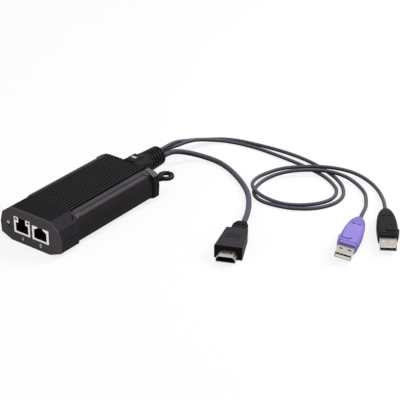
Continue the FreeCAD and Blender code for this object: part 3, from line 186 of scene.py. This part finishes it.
def buildPlateLines():
    tree, given, out = newGroup("plateLines", [
        ("Tone", "Color", (0.7, 0.68, 0.66, 1)), ("Tarnish", "Color", (0.3, 0.27, 0.24, 1)),
        ("Roughness", "Float", 0.3), ("Spread", "Float", 0.15),
        ("Stretch", "Vector", (300.0, 6000.0, 6000.0))],
        [("Color", "Color"), ("Roughness", "Float"), ("Height", "Float")])
    place = addNode(tree, "ShaderNodeTexCoord")
    draw = addVectorMath(tree, "MULTIPLY")
    lines = addNode(tree, "ShaderNodeTexNoise", plateShape["lines"])
    cloud = addNode(tree, "ShaderNodeTexNoise", plateShape["cloud"])
    dull = addRange(tree, *plateShape["dull"], most=plateShape["tarnished"])
    blend = addColourMix(tree)
    wire(tree, (place.outputs["Object"], draw.inputs[0]), (given["Stretch"], draw.inputs[1]),
         (draw.outputs["Vector"], lines.inputs["Vector"]),
         (place.outputs["Object"], cloud.inputs["Vector"]),
         (cloud.outputs["Fac"], dull.inputs["Value"]),
         (dull.outputs["Result"], blend.inputs["Factor"]),
         (given["Tone"], blend.inputs["A"]), (given["Tarnish"], blend.inputs["B"]),
         (blend.outputs["Result"], out["Color"]))
    middle = addMath(tree, "SUBTRACT", noiseMiddle)
    sway = addMath(tree, "MULTIPLY")
    rough = addMath(tree, "ADD", use_clamp=True)
    wire(tree, (lines.outputs["Fac"], middle.inputs[0]), (middle.outputs[0], sway.inputs[0]),
         (given["Spread"], sway.inputs[1]), (given["Roughness"], rough.inputs[0]),
         (sway.outputs[0], rough.inputs[1]), (rough.outputs[0], out["Roughness"]),
         (lines.outputs["Fac"], out["Height"]))
    return tree


# painted light and shade on a moulding: lit tops, a painted highlight on slopes that can fade out
# lower down, shaded sides and painted shade on undersides, told apart by where the surface faces
facetLimits = {"across": (0.25, 0.4), "steep": (0.55, 0.75), "level": (0.9, 0.97),
               "under": (-0.08, -0.45), "underShare": 0.3}


def buildFacetLightShade():
    tree, given, out = newGroup("facetLightShade", [
        ("Top", "Color", plainDark), ("Slope", "Color", (0.06, 0.06, 0.06, 1)),
        ("Side", "Color", plainDark), ("Fade Low", "Float", noFade[0]),
        ("Fade High", "Float", noFade[1])], [("Color", "Color")])
    place = addNode(tree, "ShaderNodeTexCoord")
    facing = addNode(tree, "ShaderNodeSeparateXYZ")
    spot = addNode(tree, "ShaderNodeSeparateXYZ")
    sideways = addMath(tree, "ABSOLUTE")
    across = addRange(tree, *facetLimits["across"])
    steep = addRange(tree, *facetLimits["steep"])
    level = addRange(tree, *facetLimits["level"])
    under = addRange(tree, *facetLimits["under"], least=1.0, most=facetLimits["underShare"])
    fade = addNode(tree, "ShaderNodeMapRange", interpolation_type="SMOOTHSTEP")
    both = addMath(tree, "MULTIPLY")
    slope = addMath(tree, "MULTIPLY")
    wire(tree, (place.outputs["Normal"], facing.inputs[0]),
         (place.outputs["Object"], spot.inputs[0]), (facing.outputs["X"], sideways.inputs[0]),
         (sideways.outputs[0], across.inputs["Value"]), (spot.outputs["Z"], fade.inputs["Value"]),
         (given["Fade Low"], fade.inputs["From Min"]),
         (given["Fade High"], fade.inputs["From Max"]), (across.outputs["Result"], both.inputs[0]),
         (steep.outputs["Result"], both.inputs[1]), (both.outputs[0], slope.inputs[0]),
         (fade.outputs["Result"], slope.inputs[1]))
    for limit in (steep, level, under):
        wire(tree, (facing.outputs["Z"], limit.inputs["Value"]))
    flat = addColourMix(tree)
    whole = addColourMix(tree)
    dim = addVectorMath(tree, "SCALE")
    wire(tree, (level.outputs["Result"], flat.inputs["Factor"]), (given["Side"], flat.inputs["A"]),
         (given["Top"], flat.inputs["B"]), (slope.outputs[0], whole.inputs["Factor"]),
         (flat.outputs["Result"], whole.inputs["A"]), (given["Slope"], whole.inputs["B"]),
         (whole.outputs["Result"], dim.inputs[0]), (under.outputs["Result"], dim.inputs["Scale"]),
         (dim.outputs["Vector"], out["Color"]))
    return tree


# one where a point lies past an edge along an axis
edgeBlur = 0.0003  # metres on either side of that edge


def buildPastEdge():
    tree, given, out = newGroup(
        "pastEdge", [("Axis", "Vector", (0.0, 1.0, 0.0)), ("Edge", "Float", 0.0)],
        [("Factor", "Float")])
    place = addNode(tree, "ShaderNodeTexCoord")
    along = addVectorMath(tree, "DOT_PRODUCT")
    past = addMath(tree, "SUBTRACT")
    step = addRange(tree, -edgeBlur, edgeBlur)
    wire(tree, (place.outputs["Object"], along.inputs[0]), (given["Axis"], along.inputs[1]),
         (along.outputs["Value"], past.inputs[0]), (given["Edge"], past.inputs[1]),
         (past.outputs[0], step.inputs["Value"]), (step.outputs["Result"], out["Factor"]))
    return tree


# round jackets: painted light and shade, paler on top and darker underneath
tubeLimits = (-0.1, 0.85)


def buildPaintedTubeShade():
    tree, given, out = newGroup(
        "paintedTubeShade", [("Low", "Color", plainDark), ("High", "Color", (0.06, 0.06, 0.06, 1))],
        [("Color", "Color")])
    place = addNode(tree, "ShaderNodeTexCoord")
    facing = addNode(tree, "ShaderNodeSeparateXYZ")
    rise = addRange(tree, *tubeLimits)
    blend = addColourMix(tree)
    wire(tree, (place.outputs["Normal"], facing.inputs[0]),
         (facing.outputs["Z"], rise.inputs["Value"]),
         (rise.outputs["Result"], blend.inputs["Factor"]), (given["Low"], blend.inputs["A"]),
         (given["High"], blend.inputs["B"]), (blend.outputs["Result"], out["Color"]))
    return tree


# painted shade that gathers in creases and hollows
creaseShape = {"samples": 8, "openness": (0.45, 0.92)}


def buildCreaseShade():
    tree, given, out = newGroup("creaseShade", [
        ("Color", "Color", plainDark), ("Reach", "Float", 0.0008), ("Depth", "Float", 0.7)],
        [("Color", "Color")])
    openness = addNode(tree, "ShaderNodeAmbientOcclusion", samples=creaseShape["samples"],
                       only_local=True)
    shade = addRange(tree, *creaseShape["openness"])
    least = addNode(tree, "ShaderNodeMath", {0: 1.0}, operation="SUBTRACT")
    tint = addVectorMath(tree, "SCALE")
    wire(tree, (given["Reach"], openness.inputs["Distance"]),
         (openness.outputs["AO"], shade.inputs["Value"]), (given["Depth"], least.inputs[1]),
         (least.outputs[0], shade.inputs["To Min"]), (given["Color"], tint.inputs[0]),
         (shade.outputs["Result"], tint.inputs["Scale"]), (tint.outputs["Vector"], out["Color"]))
    return tree


mouldGrain = buildMouldGrain()
facetLightShade = buildFacetLightShade()
pastEdge = buildPastEdge()
paintedTubeShade = buildPaintedTubeShade()
creaseShade = buildCreaseShade()
softEdge = buildSoftEdge()
plateLines = buildPlateLines()


def startMaterial(name):
    material = bpy.data.materials.new(name)
    material.use_nodes = True
    tree = material.node_tree
    tree.nodes.clear()
    shader = addNode(tree, "ShaderNodeBsdfPrincipled")
    output = addNode(tree, "ShaderNodeOutputMaterial")
    wire(tree, (shader.outputs["BSDF"], output.inputs["Surface"]))
    return material, tree, shader


def useFacetLightShade(tree, litShadedFacets):
    low, high = litShadedFacets.get("fade", noFade)
    group = useGroup(tree, facetLightShade, {
        "Top": opaque(litShadedFacets["top"]), "Slope": opaque(litShadedFacets["slope"]),
        "Side": opaque(litShadedFacets["side"]), "Fade Low": low, "Fade High": high})
    return group.outputs["Color"]


def softenEdges(tree, shader, look, surface):
    edge = useGroup(tree, softEdge, {
        "Radius": look["edge"], "Relief": look["relief"], "Depth": look["depth"]})
    wire(tree, (surface.outputs["Height"], edge.inputs["Height"]),
         (surface.outputs["Roughness"], shader.inputs["Roughness"]),
         (edge.outputs["Normal"], shader.inputs["Normal"]))
    return edge


plasticBody = {"ior": 1.5, "glowRadius": (0.6, 0.5, 0.4), "glowScale": 0.0008}


def moulded(name, look):
    material, tree, shader = startMaterial(name)
    grain = useGroup(tree, mouldGrain, {
        "Tone": opaque(look["tone"]), "Drift": look["drift"], "Grain": look["grain"],
        "Roughness": look["rough"], "Spread": look["spread"]})
    # painted light and shade: lit and shaded copies of the look's colour, picked by where the
    # surface faces
    if "litShadedFacets" in look:
        tone = useFacetLightShade(tree, look["litShadedFacets"])
        if "behind" in look:  # the back end has painted light and shade of its own
            blend = addColourMix(tree)
            past = useGroup(tree, pastEdge, {"Axis": look["axis"], "Edge": look["split"]})
            wire(tree, (past.outputs["Factor"], blend.inputs["Factor"]), (tone, blend.inputs["A"]),
                 (useFacetLightShade(tree, look["behind"]), blend.inputs["B"]))
            tone = blend.outputs["Result"]
        wire(tree, (tone, grain.inputs["Tone"]))
    # painted light and shade on round jackets
    if "low" in look:
        tube = useGroup(tree, paintedTubeShade, {"Low": opaque(look["low"]), "High": opaque(look["tone"])})
        wire(tree, (tube.outputs["Color"], grain.inputs["Tone"]))
    edge = softenEdges(tree, shader, look, grain)
    # a painted highlight makes edges paler
    edgeHighlightTone = addColourMix(tree, {"B": opaque(look["edgeHighlightTone"])})
    # painted shade darkens creases
    crease = useGroup(tree, creaseShade, {"Reach": look["crease"], "Depth": look["shade"]})
    wire(tree, (edge.outputs["Edge Highlight"], edgeHighlightTone.inputs["Factor"]),
         (grain.outputs["Color"], edgeHighlightTone.inputs["A"]),
         (edgeHighlightTone.outputs["Result"], crease.inputs["Color"]),
         (crease.outputs["Color"], shader.inputs["Base Color"]))
    shader.inputs["Specular IOR Level"].default_value = look["specular"]
    shader.inputs["IOR"].default_value = plasticBody["ior"]
    if "glow" in look:  # light that scatters inside pale plastic
        shader.inputs["Subsurface Weight"].default_value = look["glow"]
        shader.inputs["Subsurface Radius"].default_value = plasticBody["glowRadius"]
        shader.inputs["Subsurface Scale"].default_value = plasticBody["glowScale"]
    return material


def plated(name, look):
    material, tree, shader = startMaterial(name)
    lines = useGroup(tree, plateLines, {
        "Tone": opaque(look["tone"]), "Tarnish": opaque(look["tarnish"]),
        "Roughness": look["rough"], "Spread": look["spread"], "Stretch": look["stretch"]})
    # painted light and shade on the plate: lit top, dimmer slopes, shaded sides
    if "litShadedFacets" in look:
        wire(tree, (useFacetLightShade(tree, look["litShadedFacets"]), lines.inputs["Tone"]))
    softenEdges(tree, shader, look, lines)
    wire(tree, (lines.outputs["Color"], shader.inputs["Base Color"]))
    shader.inputs["Metallic"].default_value = 1.0
    return material


def dress(material, *names):
    for name in names:
        nodes[name].data.materials.clear()
        nodes[name].data.materials.append(material)


# housing: fine matte grain all over, and a painted highlight that makes the edges a little paler
housingLook = {"tone": (0.02, 0.0185, 0.02), "drift": 0.3, "grain": 2600.0, "rough": 0.52,
               "spread": 0.25, "relief": 0.35, "depth": 0.00006, "edge": 0.00045,
               "edgeHighlightTone": (0.04, 0.038, 0.042), "specular": 0.02, "crease": 0.0008, "shade": 0.75}
# painted light and shade on the housing's black for the front block, waist and cap; the slopes
# carry a painted highlight, which fades to painted shade lower down on the waist
frontFacets = {"top": (0.0088, 0.0081, 0.0091), "slope": (0.0265, 0.024, 0.0287),
               "side": (0.0205, 0.0187, 0.0205)}
waistFacets = {"top": (0.0185, 0.0172, 0.0185), "slope": (0.08, 0.072, 0.083),
               "side": (0.0168, 0.0152, 0.0165), "fade": (0.0209, 0.0226)}
capFacets = {"top": waistFacets["top"], "slope": (0.115, 0.104, 0.117),
             "side": (0.0125, 0.0117, 0.0125)}
# the panel keeps one tone on its faces, with painted shade on its undersides
panelFacets = dict.fromkeys(("top", "slope", "side"), (0.056, 0.0497, 0.056))
shellLook = dict(housingLook, litShadedFacets=frontFacets, behind=waistFacets, axis=(0.0, 1.0, 0.0),
                 split=-0.0328)
capLook = dict(housingLook, litShadedFacets=capFacets)
panelLook = dict(housingLook, litShadedFacets=panelFacets, edge=0.0006, edgeHighlightTone=(0.06, 0.0545, 0.061))
bootLook = dict(housingLook, tone=(0.0105, 0.0097, 0.0108), grain=1500.0, rough=0.3, relief=0.3,
                edge=0.0006, specular=0.03)
dress(moulded("shellPlastic", shellLook), "upper_shell", "lower_shell")
dress(moulded("capPlastic", capLook), "rear_cap")
dress(moulded("panelPlastic", panelLook), "front_panel")
dress(moulded("bootPlastic", bootLook), "cable_boot")

lensLook = {"tone": (0.46, 0.42, 0.37), "drift": 0.08, "grain": 900.0, "rough": 0.25,
            "spread": 0.1, "relief": 0.05, "depth": 0.00003, "edge": 0.0003,
            "edgeHighlightTone": (0.6, 0.57, 0.5), "specular": 0.3, "glow": 0.35, "crease": 0.0005,
            "shade": 0.4}
lampLook = dict(lensLook, tone=(0.06, 0.052, 0.035), edgeHighlightTone=(0.12, 0.11, 0.08), glow=0.1)
dress(moulded("lensWhite", lensLook), "status_lens")
dress(moulded("lampPipe", lampLook), "lan_link_led", "lan_activity_led")
print("housing finishes done")

# sockets: bright tin plate, black inserts, and gilded springs darkened with painted shade
socketMetalLook = {"tone": (0.82, 0.79, 0.75), "tarnish": (0.6, 0.55, 0.5), "rough": 0.34,
                   "spread": 0.2, "stretch": (400.0, 5000.0, 5000.0), "edge": 0.00015,
                   "relief": 0.08, "depth": 0.00003}
# the gilt is darkened as painted shade, for where the springs sit inside the sockets and plugs
goldLook = dict(socketMetalLook, tone=(0.13, 0.1, 0.055), tarnish=(0.07, 0.052, 0.03), rough=0.4)
usbMetalLook = dict(socketMetalLook, tone=(0.52, 0.478, 0.46), tarnish=(0.38, 0.345, 0.33),
                    rough=0.3, stretch=(3000.0, 350.0, 3000.0))
# painted light and shade on the HDMI plug's shell: a lit top, dimmer slopes and shaded sides
shellFacets = {"top": (0.62, 0.575, 0.545), "slope": (0.55, 0.5, 0.475),
               "side": (0.2, 0.182, 0.172)}
plugMetalLook = dict(usbMetalLook, tarnish=(0.42, 0.38, 0.35), litShadedFacets=shellFacets)
canLook = dict(socketMetalLook, tone=(0.66, 0.66, 0.67), tarnish=(0.45, 0.45, 0.46), rough=0.36)
screwLook = dict(socketMetalLook, tone=(0.12, 0.12, 0.125), tarnish=(0.05, 0.05, 0.052),
                 rough=0.38)
dress(plated("socketMetal", socketMetalLook), "lan_jack_shield", "console_jack_shield",
      "reset_switch_cover")
dress(plated("giltSprings", goldLook), "lan_jack_contacts", "console_jack_contacts",
      "hdmi_contacts", "usb_purple_contacts", "usb_black_contacts")
dress(plated("plugMetal", plugMetalLook), "hdmi_shell")
dress(plated("usbMetal", usbMetalLook), "usb_purple_shell", "usb_black_shell")
dress(plated("bareCan", canLook), "clock_crystal", "bulk_capacitors")
dress(plated("darkScrew", screwLook), "case_screws")

# inserts and tongues, and the board with what stands on it
insertLook = dict(housingLook, tone=(0.003, 0.003, 0.0034), specular=0.03, edge=0.0002,
                  edgeHighlightTone=(0.006, 0.006, 0.0065))
tongueLook = dict(lensLook, tone=(0.8, 0.77, 0.7), rough=0.45, glow=0.2, edgeHighlightTone=(0.86, 0.84, 0.78))
boardLook = dict(lensLook, tone=(0.012, 0.1, 0.04), rough=0.3, drift=0.4,
                 edgeHighlightTone=(0.03, 0.15, 0.07), glow=0.0)
chipLook = dict(housingLook, tone=(0.018, 0.018, 0.019), rough=0.45, edge=0.0002)
headerLook = dict(tongueLook, tone=(0.72, 0.69, 0.6))
dress(moulded("insertBlack", insertLook), "lan_jack_insert", "console_jack_insert", "hdmi_insert",
      "reset_switch_body", "reset_plunger")
dress(moulded("tongueWhite", tongueLook), "usb_purple_insert", "usb_black_insert")
dress(moulded("boardMask", boardLook), "main_board")
dress(moulded("chipPackage", chipLook), "processor_chip", "video_chip", "flash_chip",
      "lan_transformer", "memory_chips", "power_inductor")
dress(moulded("headerNylon", headerLook), "video_header", "usb_header")
print("socket and board finishes done")

# plugs: satin overmoulds with painted light and shade: lit tops, shaded slopes and sides, and
# darker copies on the strain relief and in the purple plug's hood
usbFacets = {"top": (0.0195, 0.0178, 0.02), "slope": (0.0155, 0.0143, 0.016),
             "side": (0.013, 0.0121, 0.0133)}
hdmiFacets = {"top": (0.04, 0.0362, 0.042), "slope": (0.02, 0.018, 0.021),
              "side": (0.007, 0.0064, 0.0072)}
reliefFacets = {"top": (0.0155, 0.0142, 0.016), "slope": (0.012, 0.011, 0.0125),
                "side": (0.009, 0.0083, 0.0092)}
purpleFacets = {"top": (0.262, 0.207, 0.555), "slope": (0.22, 0.168, 0.49),
                "side": (0.2, 0.148, 0.46)}
hoodFacets = {"top": (0.208, 0.162, 0.475), "slope": (0.19, 0.143, 0.44),
              "side": (0.18, 0.132, 0.42)}
plugBlackLook = dict(housingLook, litShadedFacets=usbFacets, grain=3000.0, rough=0.42, edge=0.0006,
                     crease=0.001, shade=0.8)
plugPurpleLook = dict(plugBlackLook, litShadedFacets=purpleFacets, behind=hoodFacets,
                      axis=(-0.33, 0.944, 0.0), split=0.0343, drift=0.14, rough=0.45,
                      edgeHighlightTone=(0.36, 0.29, 0.68), glow=0.15, shade=0.42)
plugHdmiLook = dict(plugBlackLook, litShadedFacets=hdmiFacets, behind=reliefFacets,
                    axis=(-0.387, 0.922, 0.0), split=-0.005)
dress(moulded("plugHdmi", plugHdmiLook), "hdmi_overmould")
dress(moulded("plugBlack", plugBlackLook), "usb_black_overmould")
dress(moulded("plugPurple", plugPurpleLook), "usb_purple_overmould")
print("plug finishes done")

# cables: soft jackets with a cool dark tint; the routes are in millimetres
# low is painted shade on the jackets' undersides, set against their lit tops
jacketLook = {"tone": (0.098, 0.0925, 0.115), "low": (0.017, 0.0155, 0.022), "drift": 0.3,
              "grain": 1800.0, "rough": 0.38, "spread": 0.2, "relief": 0.15, "depth": 0.00005,
              "edge": 0.0002, "edgeHighlightTone": (0.07, 0.066, 0.084), "specular": 0.035,
              "crease": 0.0005, "shade": 0.3}
usbJacket = moulded("usbJacket", jacketLook)
hdmiJacket = moulded("hdmiJacket", dict(jacketLook, tone=(0.09, 0.083, 0.11)))
dress(usbJacket, "inner_leads")
hdmiCord = {"radius": 2.1, "length": 0.1793, "node": "hdmi_cable", "plug": "hdmi", "route": [
    (4.1, 86.8, 15.9), (4.1, 98.2, 15.9), (3.2, 109.8, 12.2), (5.4, 120.6, 7.6),
    (14.0, 129.5, 3.4), (28.2, 131.0, 2.3), (42.2, 126.2, 2.2), (54.5, 119.4, 2.2),
    (67.2, 110.9, 2.2), (79.4, 100.1, 2.2), (89.7, 86.4, 2.4), (97.2, 74.0, 3.8),
    (103.2, 62.7, 5.3), (107.4, 52.7, 5.3)]}
purpleCord = {"radius": 1.45, "length": 0.4956, "node": "usb_purple_cable", "plug": "usb_purple",
              "route": [
    (1.9, 86.8, 20.5), (1.9, 101.0, 20.5), (-1.7, 115.2, 17.2), (-5.4, 131.9, 10.4),
    (-4.7, 144.9, 6.6), (-1.3, 157.5, 3.0), (6.3, 167.9, 1.7), (19.6, 173.7, 1.5),
    (35.7, 175.8, 1.6), (52.2, 178.0, 1.5), (69.8, 177.9, 1.6), (87.6, 175.6, 1.5),
    (104.9, 169.9, 1.6), (119.0, 163.3, 1.5), (131.2, 153.1, 1.6), (139.0, 139.8, 1.5),
    (138.7, 125.6, 1.6), (131.8, 113.0, 1.5), (119.7, 103.1, 1.6), (104.7, 98.6, 1.5),
    (90.3, 98.0, 1.6), (79.4, 105.4, 1.5), (75.2, 117.9, 1.6), (74.6, 130.9, 1.8),
    (80.6, 141.9, 4.0), (88.9, 151.6, 4.8), (99.5, 160.4, 4.8), (112.2, 166.2, 4.8),
    (125.1, 167.6, 3.6), (137.0, 164.4, 1.8), (148.3, 156.4, 1.6), (155.6, 145.8, 1.6),
    (161.6, 135.3, 2.8), (167.5, 120.6, 6.0), (171.0, 110.6, 6.0)]}
blackCord = {"radius": 1.45, "length": 0.4728, "node": "usb_black_cable", "plug": "usb_black",
             "route": [
    (0.3, 86.8, 17.1), (0.3, 101.0, 17.1), (0.0, 114.5, 14.4), (-0.3, 128.4, 12.6),
    (-1.7, 143.7, 7.9), (1.4, 156.0, 3.8), (9.6, 165.2, 1.8), (22.6, 169.2, 1.5),
    (38.7, 170.6, 1.6), (56.0, 169.8, 1.5), (73.2, 168.2, 1.6), (90.2, 166.0, 1.5),
    (106.9, 161.8, 1.6), (119.4, 155.5, 1.5), (129.8, 146.6, 1.6), (133.9, 133.9, 1.5),
    (130.0, 121.2, 1.6), (120.5, 110.9, 1.5), (109.4, 103.0, 2.2), (96.5, 100.3, 3.8),
    (84.9, 102.5, 4.8), (73.9, 111.3, 4.8), (69.9, 124.5, 3.6), (70.6, 137.6, 2.6),
    (76.8, 148.7, 4.0), (86.5, 157.3, 4.8), (97.4, 166.5, 4.8), (110.5, 173.0, 4.8),
    (123.6, 178.4, 3.0), (137.9, 176.2, 1.8), (151.4, 168.3, 1.6), (161.9, 158.1, 2.2),
    (171.7, 145.0, 5.1), (178.4, 135.1, 5.1)]}
tubeSteps = {"around": 7, "along": 10}


def layCord(name, cord, jacket):
    curve = bpy.data.curves.new(name, "CURVE")
    curve.dimensions = "3D"
    curve.bevel_depth = cord["radius"] / 1000
    curve.bevel_resolution = tubeSteps["around"]
    curve.resolution_u = tubeSteps["along"]
    curve.use_fill_caps = True
    spline = curve.splines.new("NURBS")
    spline.points.add(len(cord["route"]) - 1)
    for point, spot in zip(spline.points, cord["route"]):
        point.co = (*metres(*spot), 1)
    spline.order_u = 3  # set once the points exist
    spline.use_endpoint_u = True
    curve.materials.append(jacket)
    piece = addObject(name, curve)
    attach(piece, "housing")
    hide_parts(cord["node"])


layCord("hdmiCord", hdmiCord, hdmiJacket)
layCord("purpleCord", purpleCord, usbJacket)
layCord("blackCord", blackCord, usbJacket)
print("cables laid")


def addMesh(name, mesh, material):
    data = bpy.data.meshes.new(name)
    mesh.to_mesh(data)
    mesh.free()
    data.materials.append(material)
    return addObject(name, data)


# small printed port numbers and a ring over the pinhole, on the front panel, in millimetres
markShape = {"face": -55.7, "ink": 0.03, "stroke": 0.5, "height": 2.2, "width": 1.8,
             "ring": (1.05, 0.5), "corners": 20}
markSpots = {"first": (-7.0, 4.8), "second": (10.1, 4.8), "reset": (-20.6, 14.0)}
inkLook = dict(lensLook, tone=(0.88, 0.86, 0.84), rough=0.5, specular=0.1, glow=0.0)


def addBar(mesh, middle, size):
    face, ink = markShape["face"], markShape["ink"]
    place = Matrix.Translation(metres(middle[0], face - ink / 2, middle[1]))
    stretch = Matrix.Diagonal((*metres(size[0], ink, size[1]), 1.0))
    bmesh.ops.create_cube(mesh, size=1.0, matrix=place @ stretch)


def printMarks():
    mesh = bmesh.new()
    stroke, height, width = markShape["stroke"], markShape["height"], markShape["width"]
    x, z = markSpots["first"]
    addBar(mesh, (x, z), (stroke, height))
    addBar(mesh, (x, z - height / 2), (width, stroke))
    x, z = markSpots["second"]
    for step in (-0.5, 0.0, 0.5):
        addBar(mesh, (x, z + step * height), (width, stroke))
    addBar(mesh, (x + (width - stroke) / 2, z + height / 4), (stroke, height / 2))
    addBar(mesh, (x - (width - stroke) / 2, z - height / 4), (stroke, height / 2))
    x, z = markSpots["reset"]
    corners = markShape["corners"]
    front = markShape["face"] - markShape["ink"]
    turns = [corner * math.tau / corners for corner in range(corners)]
    outer, inner = [[mesh.verts.new(metres(x + radius * math.cos(turn), front,
                                           z + radius * math.sin(turn))) for turn in turns]
                    for radius in markShape["ring"]]
    for corner in range(corners):
        after = (corner + 1) % corners
        mesh.faces.new((outer[corner], outer[after], inner[after], inner[corner]))
    marks = addMesh("panelMarks", mesh, moulded("markInk", inkLook))
    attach(marks, "housing")


printMarks()
print("panel marks printed")

# raised rails outside the wide grooves, in millimetres: corners across, spots along, and how far
# the upper corners drop at each spot
railShape = {"corners": [(19.6, 24.3), (19.6, 25.7), (22.15, 25.1), (22.3, 22.9)], "upper": (1, 2),
             "along": (-34.4, -31.4, 42.5, 49.6), "drop": (1.1, 0.0, 0.0, 0.8)}
# painted highlight: the rails carry the pale tone of a lit shoulder, with shaded sides
railFacets = {"top": (0.066, 0.0597, 0.068), "slope": (0.066, 0.0597, 0.068),
              "side": (0.056, 0.0505, 0.0575)}
railLook = dict(housingLook, litShadedFacets=railFacets, edgeHighlightTone=(0.075, 0.068, 0.077))


def raiseRails():
    mesh = bmesh.new()
    count = len(railShape["corners"])
    for side in (-1, 1):
        loops = [[mesh.verts.new(metres(side * x, y, z - drop * (corner in railShape["upper"])))
                  for corner, (x, z) in enumerate(railShape["corners"])]
                 for y, drop in zip(railShape["along"], railShape["drop"])]
        for near, far in zip(loops, loops[1:]):
            for corner in range(count):
                after = (corner + 1) % count
                mesh.faces.new((near[corner], near[after], far[after], far[corner]))
        mesh.faces.new(loops[0])
        mesh.faces.new(loops[-1])
    bmesh.ops.recalc_face_normals(mesh, faces=mesh.faces)
    rails = addMesh("shoulderRails", mesh, moulded("railPlastic", railLook))
    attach(rails, "housing")


raiseRails()
print("shoulder rails raised")


# one for what the camera sees, also in a mirror or through glass
def seenDirectly(tree):
    rays = addNode(tree, "ShaderNodeLightPath")
    mirror = addMath(tree, "MAXIMUM")
    seen = addMath(tree, "MAXIMUM")
    wire(tree, (rays.outputs["Is Glossy Ray"], mirror.inputs[0]),
         (rays.outputs["Is Transmission Ray"], mirror.inputs[1]),
         (rays.outputs["Is Camera Ray"], seen.inputs[0]), (mirror.outputs[0], seen.inputs[1]))
    return seen.outputs[0]


# floor, light and camera
white = (1, 1, 1, 1)
floorLook = {"tone": (0.8, 0.8, 0.8), "rough": 0.9, "white": 0.82, "half": 3.0}


def makeFloor():
    mesh = bpy.data.meshes.new("floor")
    half = floorLook["half"]
    mesh.from_pydata([(-half, -half, 0), (half, -half, 0), (half, half, 0), (-half, half, 0)],
                     [], [(0, 1, 2, 3)])
    floor = addObject("floor", mesh)
    material, tree, shader = startMaterial("paleFloor")
    shader.inputs["Base Color"].default_value = opaque(floorLook["tone"])
    shader.inputs["Roughness"].default_value = floorLook["rough"]
    shader.inputs["Specular IOR Level"].default_value = 0.0
    glow = addNode(tree, "ShaderNodeEmission", {"Color": white, "Strength": 1.0})
    share = addMath(tree, "MULTIPLY", floorLook["white"])
    blend = addNode(tree, "ShaderNodeMixShader")
    output = next(node for node in tree.nodes if node.type == "OUTPUT_MATERIAL")
    wire(tree, (seenDirectly(tree), share.inputs[0]), (share.outputs[0], blend.inputs["Fac"]),
         (shader.outputs["BSDF"], blend.inputs[1]), (glow.outputs["Emission"], blend.inputs[2]),
         (blend.outputs["Shader"], output.inputs["Surface"]))
    mesh.materials.append(material)


studio = {"world": 0.42, "lamps": {
    "key": {"spot": (0.55, 0.85, 0.85), "aim": (0.05, 0.04, 0.0), "size": 0.6, "watts": 12.0},
    "front": {"spot": (-0.1, -1.2, 0.4), "aim": (0.0, 0.0, 0.02), "size": 0.7, "watts": 4.0},
    "top": {"spot": (0.35, -0.1, 1.3), "aim": (0.05, 0.05, 0.0), "size": 0.9, "watts": 6.0}}}


def lightStudio():
    world = bpy.data.worlds.new("studio")
    bpy.context.scene.world = world
    world.use_nodes = True
    tree = world.node_tree
    tree.nodes.clear()
    sky = addNode(tree, "ShaderNodeBackground", {"Color": white})
    level = addRange(tree, 0.0, 1.0, least=studio["world"])
    output = addNode(tree, "ShaderNodeOutputWorld")
    wire(tree, (seenDirectly(tree), level.inputs["Value"]),
         (level.outputs["Result"], sky.inputs["Strength"]),
         (sky.outputs["Background"], output.inputs["Surface"]))
    for name, setting in studio["lamps"].items():
        light = bpy.data.lights.new(name, "AREA")
        light.size = setting["size"]
        light.energy = setting["watts"]
        lamp = addObject(name, light)
        lamp.location = setting["spot"]
        toward = Vector(setting["aim"]) - Vector(setting["spot"])
        lamp.rotation_euler = toward.to_track_quat("-Z", "Y").to_euler()


view = {"lens": 130.73, "sensor": 36.0, "near": 0.01, "spot": (0.63624, -0.69808, 0.51715),
        "turn": (61.88, 0.0, 37.061)}


def setCamera():
    lens = bpy.data.cameras.new("view")
    lens.lens = view["lens"]
    lens.sensor_width = view["sensor"]
    lens.clip_start = view["near"]
    camera = addObject("view", lens)
    camera.location = view["spot"]
    camera.rotation_euler = [math.radians(angle) for angle in view["turn"]]
    bpy.context.scene.camera = camera


makeFloor()
lightStudio()
setCamera()
bpy.context.scene.view_settings.view_transform = "Standard"
print("floor, light and camera set")
